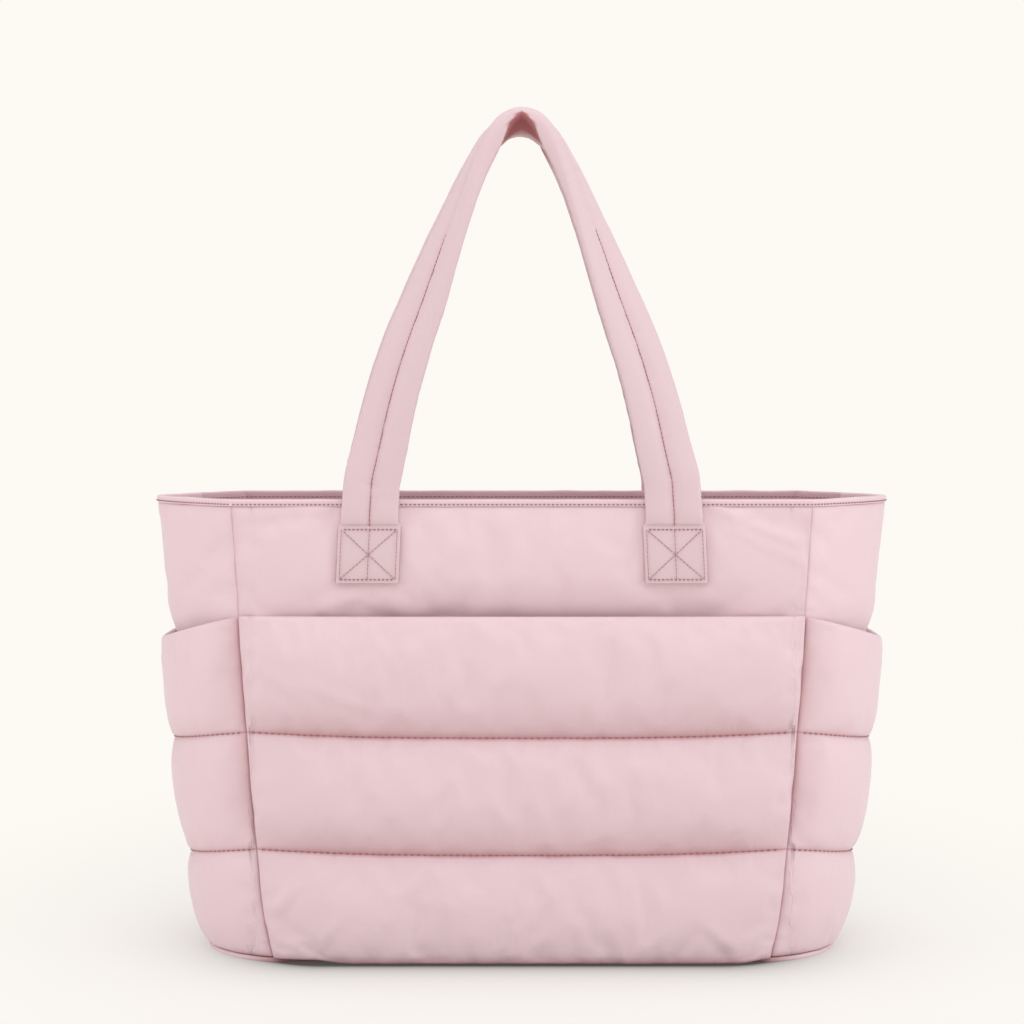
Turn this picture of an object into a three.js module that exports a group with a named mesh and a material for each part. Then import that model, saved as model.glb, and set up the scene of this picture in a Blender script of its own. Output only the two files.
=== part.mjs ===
// Puffer tote bag, all lengths in millimetres.
// X runs to the right, Y away from the front, Z up. The underside of the base is at z = 0.

import * as THREE from "three";

// Body outline: the side seams, the outer ridge of the gussets and the depth at the base
const bagHeight = 300;
const seamHalfWidth = 188.5;
const seamHalfDepth = 72;
const ridgeHalfWidth = 243.5;
const ridgePowerTop = 1.5;
const ridgePowerBase = 2.4;

// Cloth and padding
const pieceGap = 0.3;
const seamGap = 0.4;
const seamThickness = 2.5;
const panelLoft = 10;
const gussetThickness = 3.6;
const backYokeDepth = 1;
const backInnerPuff = 2;

// Powers that shape a swell: round across a channel, full until near the side seams
const puffRoundness = 0.6;
const puffEndPower = 8;
const swellEndPower = 3;
const spaceEndPower = 6;

// Rim band: an outer strip, a folded top and a longer inner facing
const bandStripHeight = 4;
const bandThickness = 1.2;
const facingHeight = 25;
const tongueThickness = 2.2;
const bandRound = 0.5;
const shoulderDrop = 0.6;

// Base
const baseThickness = 3;
const baseCornerLip = 3.1;
const baseCornerShare = 0.1;

// Front pocket and the matching back channels
const pocketTopHeight = 225;
const pocketUpperSeamHeight = 150;
const pocketLowerSeamHeight = 74;
const pocketSeamSag = 3.5;
const pocketBottomHeight = 0.9;
const pocketCornerRise = 2.5;
const pocketRiseStart = 0.7;
const pocketRiseSpan = 0.19;
const frontPuff = 10.5;
const frontPocketStandOff = 3.8;
const backPuff = 12.5;
const backStandOff = 4.5;
const seamLipFade = 12;
const yokeClearance = 1;

// Side pockets
const sideMouthDip = 19;
const sideSeamDip = 11;
const sidePuff = 5;
const sideMouthSpace = 8;
const sideUpperSpace = 9;
const sideLowerSpace = 8;
const sideBottomSpace = 8;
const sideMouthThickness = 2.6;

// Handles
const strapWidth = 37;
const strapThickness = 6.8;
const strapSeamDepth = 1.3;
const handleHalfSpread = 100;
const handleTopHeight = 547.5;
const handleTopDepth = 12.5;
const tabWidth = 41;
const tabHeight = 37;
const tabTopHeight = 283.4;
const tabThickness = 2.8;
const tabGroove = 0.3;
const tabBlend = 6;
const tabTopSpread = 0.985;
const tabNarrowing = 3;
const rimSpread = 0.979;
const backHandleShift = -1;
const backHandleHalfSpread = 104.5;
const strapRingCount = 36;

// Side seams by height: shares of the bag height, seam half width and seam half depth
const seamRows = [
  { height: 0, width: 0.849, depth: 1 },
  { height: 0.1, width: 0.881, depth: 0.99 },
  { height: 0.25, width: 0.908, depth: 0.972 },
  { height: 0.5, width: 0.942, depth: 0.944 },
  { height: 0.75, width: 0.971, depth: 0.917 },
  { height: 1, width: 1, depth: 0.833 },
];

// Gusset ridge by height: shares of the bag height and the ridge half width
const ridgeRows = [
  { height: 0, width: 0.817 },
  { height: 0.17, width: 0.854 },
  { height: 0.33, width: 0.883 },
  { height: 0.5, width: 0.907 },
  { height: 0.61, width: 0.918 },
  { height: 0.68, width: 0.939 },
  { height: 0.74, width: 0.965 },
  { height: 0.81, width: 0.977 },
  { height: 0.88, width: 0.986 },
  { height: 1, width: 1 },
];

// Front panel at its middle: shares of the bag height and of the panel loft
const frontProfile = [
  { height: 0, outer: 0, inner: -0.35 },
  { height: 0.07, outer: -0.35, inner: -0.75 },
  { height: 0.25, outer: -0.75, inner: -1.15 },
  { height: 0.5, outer: -0.8, inner: -1.2 },
  { height: 0.66, outer: -0.8, inner: -1.15 },
  { height: 0.745, outer: -0.4, inner: -0.8 },
  { height: 0.79, outer: 0.05, inner: -0.4 },
  { height: 0.84, outer: 0.4, inner: -0.1 },
  { height: 0.93, outer: 0.3, inner: -0.2 },
  { height: 0.985, outer: 0, inner: -0.3 },
];

// Strap from rim to apex: rise, spread, turn in degrees, then shares of width and thickness as it folds
const strapRows = [
  { rise: 0.05, spread: 0.97, turn: 3, width: 1, thickness: 1 },
  { rise: 0.13, spread: 0.925, turn: 13, width: 1, thickness: 1 },
  { rise: 0.258, spread: 0.853, turn: 22, width: 1, thickness: 1 },
  { rise: 0.39, spread: 0.757, turn: 28, width: 1, thickness: 1 },
  { rise: 0.52, spread: 0.64, turn: 37, width: 1, thickness: 1 },
  { rise: 0.65, spread: 0.525, turn: 47, width: 0.96, thickness: 1.05 },
  { rise: 0.775, spread: 0.405, turn: 56, width: 0.85, thickness: 1.3 },
  { rise: 0.88, spread: 0.29, turn: 64, width: 0.72, thickness: 1.75 },
  { rise: 0.955, spread: 0.18, turn: 76, width: 0.63, thickness: 2.25 },
  { rise: 0.99, spread: 0.09, turn: 88, width: 0.58, thickness: 2.45 },
  { rise: 1, spread: 0, turn: 94, width: 0.57, thickness: 2.5 },
];

// Strap section: share of the half width, share of the thickness, 1 on the seam groove
const strapSection = [
  { across: -1, up: 0.5, groove: 0 },
  { across: -0.93, up: 0.85, groove: 0 },
  { across: -0.55, up: 1, groove: 0 },
  { across: -0.12, up: 0.95, groove: 0 },
  { across: 0, up: 0.95, groove: 1 },
  { across: 0.12, up: 0.95, groove: 0 },
  { across: 0.55, up: 1, groove: 0 },
  { across: 0.93, up: 0.85, groove: 0 },
  { across: 1, up: 0.5, groove: 0 },
  { across: 0.9, up: 0.12, groove: 0 },
  { across: 0.4, up: 0, groove: 0 },
  { across: -0.4, up: 0, groove: 0 },
  { across: -0.9, up: 0.12, groove: 0 },
];

// Rings of an end tab, and of the blend above it with how full the padding is
const tabLevels = [0, 0.33, 0.67, 1];
const blendRows = [
  { rise: 0.25, fullness: 0.55 },
  { rise: 1, fullness: 1 },
];

// Columns of the flat panels and of the gussets, each as a share of its half length
const panelColumns = mirrored([0, 0.16, 0.32, 0.48, 0.64, 0.78, 0.88, 0.955, 1]);
const gussetColumns = mirrored([0, 0.2, 0.42, 0.64, 0.83, 0.94, 1]);

// Rows of a plain wall, and of one padded channel, as shares of their height
const wallLevels = [0, 0.035, 0.1, 0.242, 0.424, 0.586, 0.687, 0.747, 0.798, 0.859, 0.929, 0.975, 1];
const channelLevels = [0, 0.08, 0.25, 0.5, 0.75, 0.92];

function mirrored(shares) {
  const left = shares.slice(1).reverse().map((share) => -share);
  return left.concat(shares);
}

function mix(a, b, share) {
  return a + (b - a) * share;
}

function ease(value) {
  const share = Math.min(1, Math.max(0, value));
  return share * share * (3 - 2 * share);
}

// Smooth curve through one column of a table, by height share
function along(rows, column, height) {
  const last = rows.length - 1;
  let i = 0;
  while (i < last - 1 && height > rows[i + 1].height) {
    i += 1;
  }
  const slope = (k) => {
    const low = rows[Math.max(0, k - 1)];
    const high = rows[Math.min(last, k + 1)];
    return (high[column] - low[column]) / (high.height - low.height);
  };
  const a = rows[i];
  const b = rows[i + 1];
  const span = b.height - a.height;
  const u = Math.min(1, Math.max(0, (height - a.height) / span));
  const u2 = u * u;
  const u3 = u2 * u;
  return (
    (2 * u3 - 3 * u2 + 1) * a[column] +
    (u3 - 2 * u2 + u) * span * slope(i) +
    (3 * u2 - 2 * u3) * b[column] +
    (u3 - u2) * span * slope(i + 1)
  );
}

function seamX(z) {
  return seamHalfWidth * along(seamRows, "width", z / bagHeight);
}

function seamY(z) {
  return seamHalfDepth * along(seamRows, "depth", z / bagHeight);
}

function ridgeX(z) {
  return ridgeHalfWidth * along(ridgeRows, "width", z / bagHeight);
}

// Outward normal of the gusset in plan, at a share of its half depth
function gussetNormal(share, z) {
  const power = mix(ridgePowerBase, ridgePowerTop, z / bagHeight);
  const bow = (ridgeX(z) - seamX(z)) * power * Math.abs(share) ** (power - 1);
  const x = seamY(z);
  const y = bow * Math.sign(share);
  const length = Math.hypot(x, y);
  return { x: x / length, y: y / length };
}

// Offset direction at the side seam that suits both the flat panel and the gusset
function seamMitre(z) {
  const normal = gussetNormal(1, z);
  return { x: normal.x / (1 + normal.y), y: 1 };
}

// Point of the front wall: share of its half width, height, offset outward
function frontPoint(share, z, offset) {
  const edge = Math.abs(share) === 1 ? seamMitre(z).x * Math.sign(share) : 0;
  const x = share * (seamX(z) - seamGap / 2) + edge * offset;
  return new THREE.Vector3(x, -seamY(z) - offset, z);
}

function backPoint(share, z, offset) {
  const point = frontPoint(share, z, offset);
  point.y = -point.y;
  return point;
}

// Point of the right gusset: share of its half depth, height, offset outward
function gussetPoint(share, z, offset) {
  const power = mix(ridgePowerBase, ridgePowerTop, z / bagHeight);
  const start = seamX(z) + seamGap / 2;
  const x = start + (ridgeX(z) - start) * (1 - Math.abs(share) ** power);
  const atSeam = Math.abs(share) === 1;
  const mitre = seamMitre(z);
  const normal = atSeam ? { x: mitre.x, y: Math.sign(share) } : gussetNormal(share, z);
  return new THREE.Vector3(x + normal.x * offset, seamY(z) * share + normal.y * offset, z);
}

// Closed indexed solid from points and triangles, faces turned outward
function solid(points, triangles) {
  let volume = 0;
  for (const [a, b, c] of triangles) {
    volume += points[a].dot(points[b].clone().cross(points[c]));
  }
  const turned = volume < 0 ? triangles.map(([a, b, c]) => [a, c, b]) : triangles;
  const geometry = new THREE.BufferGeometry();
  geometry.setAttribute("position", new THREE.Float32BufferAttribute(points.flatMap((p) => p.toArray()), 3));
  geometry.setIndex(turned.flat());
  geometry.computeVertexNormals();
  return geometry;
}

// Two triangles that close four corners
function square(a, b, c, d) {
  return [[a, b, c], [a, c, d]];
}

// Padded sheet between an outer and an inner grid of points
function paddedSheet(outerRows, innerRows) {
  const rows = outerRows.length;
  const columns = outerRows[0].length;
  const points = outerRows.flat().concat(innerRows.flat());
  const outer = (r, c) => r * columns + c;
  const inner = (r, c) => rows * columns + r * columns + c;
  const triangles = [];
  for (let r = 0; r < rows - 1; r += 1) {
    for (let c = 0; c < columns - 1; c += 1) {
      triangles.push(...square(outer(r, c), outer(r, c + 1), outer(r + 1, c + 1), outer(r + 1, c)));
      triangles.push(...square(inner(r, c), inner(r + 1, c), inner(r + 1, c + 1), inner(r, c + 1)));
    }
  }
  for (let c = 0; c < columns - 1; c += 1) {
    const top = rows - 1;
    triangles.push(...square(outer(0, c), inner(0, c), inner(0, c + 1), outer(0, c + 1)));
    triangles.push(...square(outer(top, c), outer(top, c + 1), inner(top, c + 1), inner(top, c)));
  }
  for (let r = 0; r < rows - 1; r += 1) {
    const end = columns - 1;
    triangles.push(...square(outer(r, 0), outer(r + 1, 0), inner(r + 1, 0), inner(r, 0)));
    triangles.push(...square(outer(r, end), inner(r, end), inner(r + 1, end), outer(r + 1, end)));
  }
  return solid(points, triangles);
}

// Tube through rings of points, closed into a loop or with flat ends
function tube(rings, isLoop) {
  const size = rings[0].length;
  const points = rings.flat();
  const triangles = [];
  const steps = isLoop ? rings.length : rings.length - 1;
  for (let r = 0; r < steps; r += 1) {
    const here = r * size;
    const next = ((r + 1) % rings.length) * size;
    for (let k = 0; k < size; k += 1) {
      const k1 = (k + 1) % size;
      triangles.push(...square(here + k, here + k1, next + k1, next + k));
    }
  }
  if (!isLoop) {
    for (const [start, isFirst] of [[0, true], [(rings.length - 1) * size, false]]) {
      const centre = rings[start / size].reduce((sum, p) => sum.add(p), new THREE.Vector3());
      points.push(centre.divideScalar(size));
      const hub = points.length - 1;
      for (let k = 0; k < size; k += 1) {
        const k1 = (k + 1) % size;
        triangles.push(isFirst ? [hub, start + k1, start + k] : [hub, start + k, start + k1]);
      }
    }
  }
  return solid(points, triangles);
}

// Rise of a padded channel across its height, and its fade towards the side seams
function puffAcross(share) {
  return (4 * share * (1 - share)) ** puffRoundness;
}

function puffAlong(share) {
  return Math.max(0, 1 - share ** puffEndPower) ** puffRoundness;
}

// How far a flat panel keeps its swell towards the side seams
function panelFade(share) {
  return 1 - Math.abs(share) ** swellEndPower;
}

// Outer face of the front panel above the seam outline
function frontSwell(share, z) {
  return panelLoft * along(frontProfile, "outer", z / bagHeight) * panelFade(share);
}

const wallBottom = baseThickness + pieceGap;
const shoulderTop = bagHeight - bandStripHeight - pieceGap;
const tongueTop = bagHeight - bandThickness - pieceGap;
const tongueOuter = -bandThickness - pieceGap;
const tongueInner = tongueOuter - tongueThickness;

// Rows that end every wall under the rim band
const tongueRows = [
  { z: shoulderTop, outer: tongueOuter, inner: tongueInner },
  { z: tongueTop, outer: tongueOuter, inner: tongueInner },
];

function wallSheet(columns, place, levels, outerAt, innerAt) {
  const outerRows = levels.map((z) => columns.map((share) => place(share, z, outerAt(share, z))));
  const innerRows = levels.map((z) => columns.map((share) => place(share, z, innerAt(share, z))));
  for (const row of tongueRows) {
    outerRows.push(columns.map((share) => place(share, row.z, row.outer)));
    innerRows.push(columns.map((share) => place(share, row.z, row.inner)));
  }
  return paddedSheet(outerRows, innerRows);
}

const plainLevels = wallLevels.map((share) => mix(wallBottom, shoulderTop - shoulderDrop, share));

function frontPanel() {
  const innerAt = (share, z) => {
    const middle = panelLoft * along(frontProfile, "inner", z / bagHeight);
    return mix(-seamThickness, middle, panelFade(share));
  };
  return wallSheet(panelColumns, frontPoint, plainLevels, frontSwell, innerAt);
}

// Height of each quilt line of the front and back, lowest at the middle
function quiltLines(share) {
  const sag = pocketSeamSag * panelFade(share);
  return [pocketUpperSeamHeight - sag, pocketLowerSeamHeight - sag];
}

// Grid rows of stacked channels between lines, from the lowest line up
function channelRows(lines) {
  const rows = [];
  for (let k = 0; k < lines.length - 1; k += 1) {
    for (const share of channelLevels) {
      rows.push({ z: mix(lines[k], lines[k + 1], share), puff: puffAcross(share), at: k + share });
    }
  }
  rows.push({ z: lines[lines.length - 1], puff: 0, at: lines.length - 1 });
  return rows;
}

function turned(grid) {
  return grid[0].map((_, r) => grid.map((column) => column[r]));
}

function backPanel() {
  const outerColumns = [];
  const innerColumns = [];
  const yokeLevels = plainLevels.filter((z) => z > pocketTopHeight + yokeClearance);
  for (const share of panelColumns) {
    const [upper, lower] = quiltLines(share);
    const fade = panelFade(share);
    const rows = channelRows([wallBottom, lower, upper, pocketTopHeight]);
    const outer = [];
    const inner = [];
    for (const { z, puff, at } of rows) {
      const stand = mix(baseCornerLip - pieceGap, backStandOff, fade * Math.min(1, at));
      const ends = ease((pocketTopHeight - z) / seamLipFade);
      const swell = mix(frontSwell(share, z), stand, ends);
      outer.push(backPoint(share, z, swell + backPuff * puff * puffAlong(share)));
      inner.push(backPoint(share, z, -seamThickness - backInnerPuff * fade * puff));
    }
    for (const z of yokeLevels) {
      outer.push(backPoint(share, z, frontSwell(share, z)));
      inner.push(backPoint(share, z, mix(-seamThickness, -backYokeDepth, fade)));
    }
    for (const row of tongueRows) {
      outer.push(backPoint(share, row.z, row.outer));
      inner.push(backPoint(share, row.z, row.inner));
    }
    outerColumns.push(outer);
    innerColumns.push(inner);
  }
  return paddedSheet(turned(outerColumns), turned(innerColumns));
}

function frontPocket() {
  const outerColumns = [];
  const innerColumns = [];
  for (const share of panelColumns) {
    const [upper, lower] = quiltLines(share);
    const fade = panelFade(share);
    const rise = ease((Math.abs(share) - pocketRiseStart) / pocketRiseSpan);
    const bottom = pocketBottomHeight + pocketCornerRise * rise;
    const outer = [];
    const inner = [];
    for (const { z, puff, at } of channelRows([bottom, lower, upper, pocketTopHeight])) {
      const stand = pieceGap + frontPocketStandOff * fade * Math.min(1, at);
      inner.push(frontPoint(share, z, stand));
      outer.push(frontPoint(share, z, stand + seamThickness + frontPuff * puff * puffAlong(share)));
    }
    outerColumns.push(outer);
    innerColumns.push(inner);
  }
  return paddedSheet(turned(outerColumns), turned(innerColumns));
}

// Space between gusset and side pocket, full over most of the depth
function sideSpaceFade(share) {
  return 1 - share ** spaceEndPower;
}

function sidePocket(side) {
  const place = onSide(side);
  const outerColumns = [];
  const innerColumns = [];
  const spaces = [sideBottomSpace, sideLowerSpace, sideUpperSpace, sideMouthSpace];
  for (const share of gussetColumns) {
    const dip = 1 - Math.abs(share) ** ridgePowerTop;
    const lines = [
      wallBottom,
      pocketLowerSeamHeight - sideSeamDip * dip,
      pocketUpperSeamHeight - sideSeamDip * dip,
      pocketTopHeight - sideMouthDip * dip,
    ];
    const outer = [];
    const inner = [];
    for (const { z, puff, at } of channelRows(lines)) {
      const k = Math.min(2, Math.floor(at));
      const space = mix(spaces[k], spaces[k + 1], at - k) * sideSpaceFade(share);
      const hem = mix(seamThickness, sideMouthThickness, ease(at - 2) * sideSpaceFade(share));
      inner.push(place(share, z, pieceGap + space));
      outer.push(place(share, z, pieceGap + space + hem + sidePuff * puff * puffAlong(share)));
    }
    outerColumns.push(outer);
    innerColumns.push(inner);
  }
  return paddedSheet(turned(outerColumns), turned(innerColumns));
}

// Gusset placement on the right (1) or the left (-1)
function onSide(side) {
  return (share, z, offset) => {
    const point = gussetPoint(share, z, offset);
    point.x *= side;
    return point;
  };
}

function gusset(side) {
  const innerAt = (share) => -mix(seamThickness, gussetThickness, panelFade(share));
  return wallSheet(gussetColumns, onSide(side), plainLevels, () => 0, innerAt);
}

// Once round the bag at one height, as rings' positions for a band or the base
function roundTheBag(visit) {
  const steps = [];
  for (const share of panelColumns) {
    steps.push(visit(frontPoint, share, true));
  }
  for (const share of gussetColumns.slice(1, -1)) {
    steps.push(visit(gussetPoint, share, false));
  }
  for (const share of panelColumns.slice().reverse()) {
    steps.push(visit(backPoint, share, true));
  }
  for (const share of gussetColumns.slice(1, -1).reverse()) {
    steps.push(visit(onSide(-1), share, false));
  }
  return steps;
}

function rimBand() {
  const stripBottom = bagHeight - bandStripHeight;
  const facingBottom = bagHeight - facingHeight;
  const facingOuter = tongueInner - pieceGap;
  const facingInner = facingOuter - bandThickness;
  const underTop = tongueTop + pieceGap;
  const section = [
    [0, stripBottom],
    [0, bagHeight - bandRound],
    [-bandRound, bagHeight],
    [facingInner + bandRound, bagHeight],
    [facingInner, bagHeight - bandRound],
    [facingInner, facingBottom],
    [facingOuter, facingBottom],
    [facingOuter, underTop],
    [-bandThickness, underTop],
    [-bandThickness, stripBottom],
  ];
  return tube(roundTheBag((place, share) => section.map(([offset, z]) => place(share, z, offset))), true);
}

function basePanel() {
  const outline = roundTheBag((place, share, isFlat) => {
    const corner = baseCornerLip * ease((Math.abs(share) - 1 + baseCornerShare) / baseCornerShare);
    const side = baseCornerLip - pieceGap + sideBottomSpace * sideSpaceFade(share);
    return place(share, 0, isFlat ? corner : side);
  });
  const shape = new THREE.Shape(outline.map((p) => new THREE.Vector2(p.x, p.y)));
  return new THREE.ExtrudeGeometry(shape, { depth: baseThickness, bevelEnabled: false });
}

// Section point heights: the seam groove sinks into the outer face
function sectionLift(row, thickness, groove) {
  return row.up * thickness - row.groove * groove;
}

// Ring of the strap that lies on the front wall, over the panel or the rim band
function lyingRing(side, centreX, z, width, thickness, groove) {
  return strapSection.map((row) => {
    const x = centreX - side * row.across * (width / 2);
    const share = x / (seamX(z) - seamGap / 2);
    const swell = z < shoulderTop ? Math.max(0, frontSwell(share, z)) : 0;
    const lift = pieceGap + swell + sectionLift(row, thickness, groove);
    return new THREE.Vector3(x, -seamY(z) - lift, z);
  });
}

// Rings of one strap end from the tab's lower edge up to the rim
function endRings(side, halfSpread, shiftX) {
  const tabBottom = tabTopHeight - tabHeight;
  const rings = [];
  for (const share of tabLevels) {
    const z = mix(tabBottom, tabTopHeight, share);
    const centre = side * halfSpread * mix(1, tabTopSpread, share) + shiftX;
    rings.push(lyingRing(side, centre, z, tabWidth, tabThickness, tabGroove));
  }
  for (const { rise, fullness } of blendRows) {
    const z = tabTopHeight + tabBlend * rise;
    const width = mix(tabWidth, strapWidth, ease(rise * tabNarrowing));
    const thickness = mix(tabThickness, strapThickness, fullness);
    const groove = mix(tabGroove, strapSeamDepth, fullness);
    const centre = side * halfSpread * tabTopSpread + shiftX;
    rings.push(lyingRing(side, centre, z, width, thickness, groove));
  }
  const rimCentre = side * halfSpread * rimSpread + shiftX;
  rings.push(lyingRing(side, rimCentre, bagHeight, strapWidth, strapThickness, strapSeamDepth));
  return rings;
}

// Free part of the strap from rim to rim over the apex
function freeRings(halfSpread, shiftX) {
  const footDepth = seamY(bagHeight) + pieceGap + strapThickness / 2;
  const rise = handleTopHeight - bagHeight;
  const positions = [];
  const folds = [];
  for (const side of [-1, 1]) {
    const rows = side < 0 ? strapRows : strapRows.slice(0, -1).reverse();
    for (const row of rows) {
      const x = side * row.spread * halfSpread + shiftX;
      const y = -mix(footDepth, handleTopDepth, row.rise);
      positions.push(new THREE.Vector3(x, y, bagHeight + row.rise * rise));
      folds.push(new THREE.Vector3(row.turn, row.width, row.thickness));
    }
  }
  const centreLine = new THREE.CatmullRomCurve3(positions);
  const foldLine = new THREE.CatmullRomCurve3(folds, false, "catmullrom");
  const lean = Math.atan2(footDepth - handleTopDepth, rise);
  const outOfLoop = new THREE.Vector3(0, -Math.cos(lean), Math.sin(lean));
  const rings = [];
  for (let i = 0; i <= strapRingCount; i += 1) {
    const at = i / strapRingCount;
    const centre = centreLine.getPoint(at);
    const tangent = centreLine.getTangent(at);
    const outward = outOfLoop.clone().cross(tangent).normalize();
    const fold = foldLine.getPoint(at);
    const turn = THREE.MathUtils.degToRad(fold.x);
    const width = strapWidth * fold.y;
    const thickness = strapThickness * fold.z;
    const face = outOfLoop.clone().multiplyScalar(Math.cos(turn)).addScaledVector(outward, Math.sin(turn));
    const across = tangent.clone().cross(face).normalize();
    rings.push(strapSection.map((row) => {
      const lift = sectionLift(row, thickness, strapSeamDepth) - thickness / 2;
      return centre.clone().addScaledVector(across, row.across * width / 2).addScaledVector(face, lift);
    }));
  }
  return rings;
}

function handle(halfSpread, shiftX, mirrorY) {
  const rings = [
    ...endRings(-1, halfSpread, shiftX),
    ...freeRings(halfSpread, shiftX),
    ...endRings(1, halfSpread, shiftX).reverse(),
  ];
  for (const point of rings.flat()) {
    point.y *= mirrorY;
  }
  return tube(rings, false);
}

const bag = new THREE.Group();
bag.name = "puffer_tote_bag";

function addPiece(name, geometry, color, roughness) {
  const material = new THREE.MeshStandardMaterial({ color, roughness, metalness: 0 });
  material.name = name;
  const mesh = new THREE.Mesh(geometry, material);
  mesh.name = name;
  bag.add(mesh);
}

addPiece("front_panel", frontPanel(), "#e7c9cd", 0.55);
addPiece("back_panel", backPanel(), "#e3c5c9", 0.55);
addPiece("left_gusset", gusset(-1), "#eacacc", 0.55);
addPiece("right_gusset", gusset(1), "#f0d3d7", 0.55);
addPiece("base_panel", basePanel(), "#d8b4b8", 0.6);
addPiece("rim_band", rimBand(), "#e5c6ca", 0.55);
addPiece("front_pocket", frontPocket(), "#e4c7ca", 0.5);
addPiece("left_side_pocket", sidePocket(-1), "#eacccc", 0.5);
addPiece("right_side_pocket", sidePocket(1), "#efd8db", 0.5);
addPiece("front_handle", handle(handleHalfSpread, 0, 1), "#dcbcbe", 0.55);
addPiece("back_handle", handle(backHandleHalfSpread, backHandleShift, -1), "#d9babc", 0.55);

export default bag;
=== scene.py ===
import math

import bmesh
import bpy
from bpy.props import FloatProperty, FloatVectorProperty, IntProperty, PointerProperty
from mathutils import Matrix, Vector, noise


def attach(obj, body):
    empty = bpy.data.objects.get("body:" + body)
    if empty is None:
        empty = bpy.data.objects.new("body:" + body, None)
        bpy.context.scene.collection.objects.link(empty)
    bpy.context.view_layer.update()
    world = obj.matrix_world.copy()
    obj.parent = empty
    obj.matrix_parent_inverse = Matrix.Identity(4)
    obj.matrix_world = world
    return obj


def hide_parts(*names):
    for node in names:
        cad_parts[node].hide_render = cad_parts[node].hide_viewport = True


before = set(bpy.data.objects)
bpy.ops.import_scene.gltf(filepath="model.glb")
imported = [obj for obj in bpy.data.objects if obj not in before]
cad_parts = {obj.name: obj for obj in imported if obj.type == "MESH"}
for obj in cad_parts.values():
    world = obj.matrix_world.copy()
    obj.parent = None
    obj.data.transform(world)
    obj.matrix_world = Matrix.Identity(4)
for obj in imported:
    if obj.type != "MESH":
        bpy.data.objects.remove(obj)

bl_info = {
    "name": "Puffer tote bag",
    "version": (1, 0, 0),
    "blender": (4, 5, 0),
    "location": "3D View > Sidebar > Tote",
    "description": "Builds a quilted nylon tote bag over its packed solids",
    "category": "Object",
}

# Lengths below are in millimetres, as in the solids, and turn to metres where a mesh is written.
MM = 0.001
BAG_HEIGHT = 300
SEAM_HALF_WIDTH = 188.5
SEAM_HALF_DEPTH = 72
RIDGE_HALF_WIDTH = 243.5
RIDGE_POWER_TOP = 1.5
RIDGE_POWER_BASE = 2.4
PIECE_GAP = 0.3
SEAM_THICKNESS = 2.5
PANEL_LOFT = 10
GUSSET_THICKNESS = 3.6
BAND_STRIP = 4
BAND_THICKNESS = 1.2
FACING_HEIGHT = 25
TONGUE_THICKNESS = 2.2
BASE_THICKNESS = 3
BASE_LIP = 3.1
POCKET_TOP = 225
UPPER_SEAM = 150
LOWER_SEAM = 74
SEAM_SAG = 3.5
POCKET_BOTTOM = 0.4
CORNER_RISE = 2.5
FRONT_STAND_OFF = 3.8
BACK_STAND_OFF = 4.5
LIP_FADE = 12
MOUTH_DIP = 19
SIDE_DIP = 11
SIDE_SPACES = (8, 8, 9, 8)
MOUTH_THICKNESS = 2.6
STRAP_WIDTH = 37
STRAP_THICKNESS = 6.8
STRAP_GROOVE = 1.3
HANDLE_TOP = 547.5
HANDLE_DEPTH = 12.5
TAB_WIDTH = 41
TAB_HEIGHT = 37
TAB_TOP = 283.4
TAB_THICKNESS = 2.8
TAB_GROOVE = 0.3
TAB_BLEND = 6
TAB_TOP_SPREAD = 0.985
RIM_SPREAD = 0.979
# Half spread of the ends and sideways shift of each handle
FRONT_HANG = (100, 0)
BACK_HANG = (104.5, -1)
# Mouth of the fold under a strap's apex: share of the thickness, fade along the strap and reach
MOUTH_LIFT = 0.72
MOUTH_FADE = 17
MOUTH_REACH = 52
# Cloth run from the middle of a gusset to its seam, and centre of its bow
GUSSET_RUN = 85
BOW_CENTRE = 150
# Half width of the front part of the cloth's chart
CHART_CORNER = 175
# Height over which a wall steps in below the shoulder, and share of the rows that this and the tongue take
SHOULDER_LEDGE = 0.6
TONGUE_ROWS = 0.06
# Height below the shoulder, and border round a tab, where the cloth is held
HELD_TOP = 2
HELD_BORDER = 3
# Run of the grid across the front and back, up the walls, and across and up the pockets
PANEL_RUN = 360
WALL_RISE = 290
FRONT_POCKET_RUN = 376
GUSSET_WIDTH = 165
SIDE_POCKET_RUN = 170
SIDE_POCKET_RISE = 215
# Shares of the spare cloth and of the pressure, and largest move in mm, in the cloth simulation of each sheet
FRONT_PLAY = (0.7, 0.4, 2.0)
GUSSET_PLAY = (0.5, 0.2, 1.2)
QUILT_PLAY = (1, 1, 5)
SIDE_PLAY = (1, 1, 3.5)
# Reach of the seam shade from quilt lines and side seams, from the rim's shoulder and from a pocket's mouth
SEAM_REACH = 14.0
SHOULDER_REACH = 10
HEM_REACH = 6
SHOULDER_SHADE = 0.8
HEM_SHADE = 0.6
# Cloth that sinks further than this would come through the inner face
SINK_LIMIT = 0.6
ON_LINE = 1e-4
# Pitch, radius and bare share of each end of a stitch, for each kind of seam
QUILT_STITCH = (4.2, 0.38, 0.24)
RIM_STITCH = (2.8, 0.42, 0.2)
STRAP_STITCH = (3.0, 0.24, 0.06)
TAB_PITCH = 2.7
SHORTEST_STITCH = 0.2
# Share along a stitch, thickness and lift in thread radii, and sides of the thread
STITCH_ARCH = ((0.0, 0.45, -0.7), (0.2, 1.0, 0.35), (0.8, 1.0, 0.35), (1.0, 0.45, -0.7))
THREAD_SIDES = 6
# Share of the strap on either side of its apex that carries no stitches
FOLDED_SHARE = 0.3
# One thread of the weave is a millimetre, and the UV is in metres
WEAVE_TURN = 6283.0
# Colour of the painted shade laid into folds, under the strap's apex, under the bag and where cloth rolls
# under a quilt line
PAINTED_SHADE_TINT = (0.40, 0.115, 0.125, 1.0)
# Colour of the painted contact shadow on the floor round the bag
CONTACT_SHADOW_TINT = (0.03, 0.022, 0.02, 1)
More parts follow.
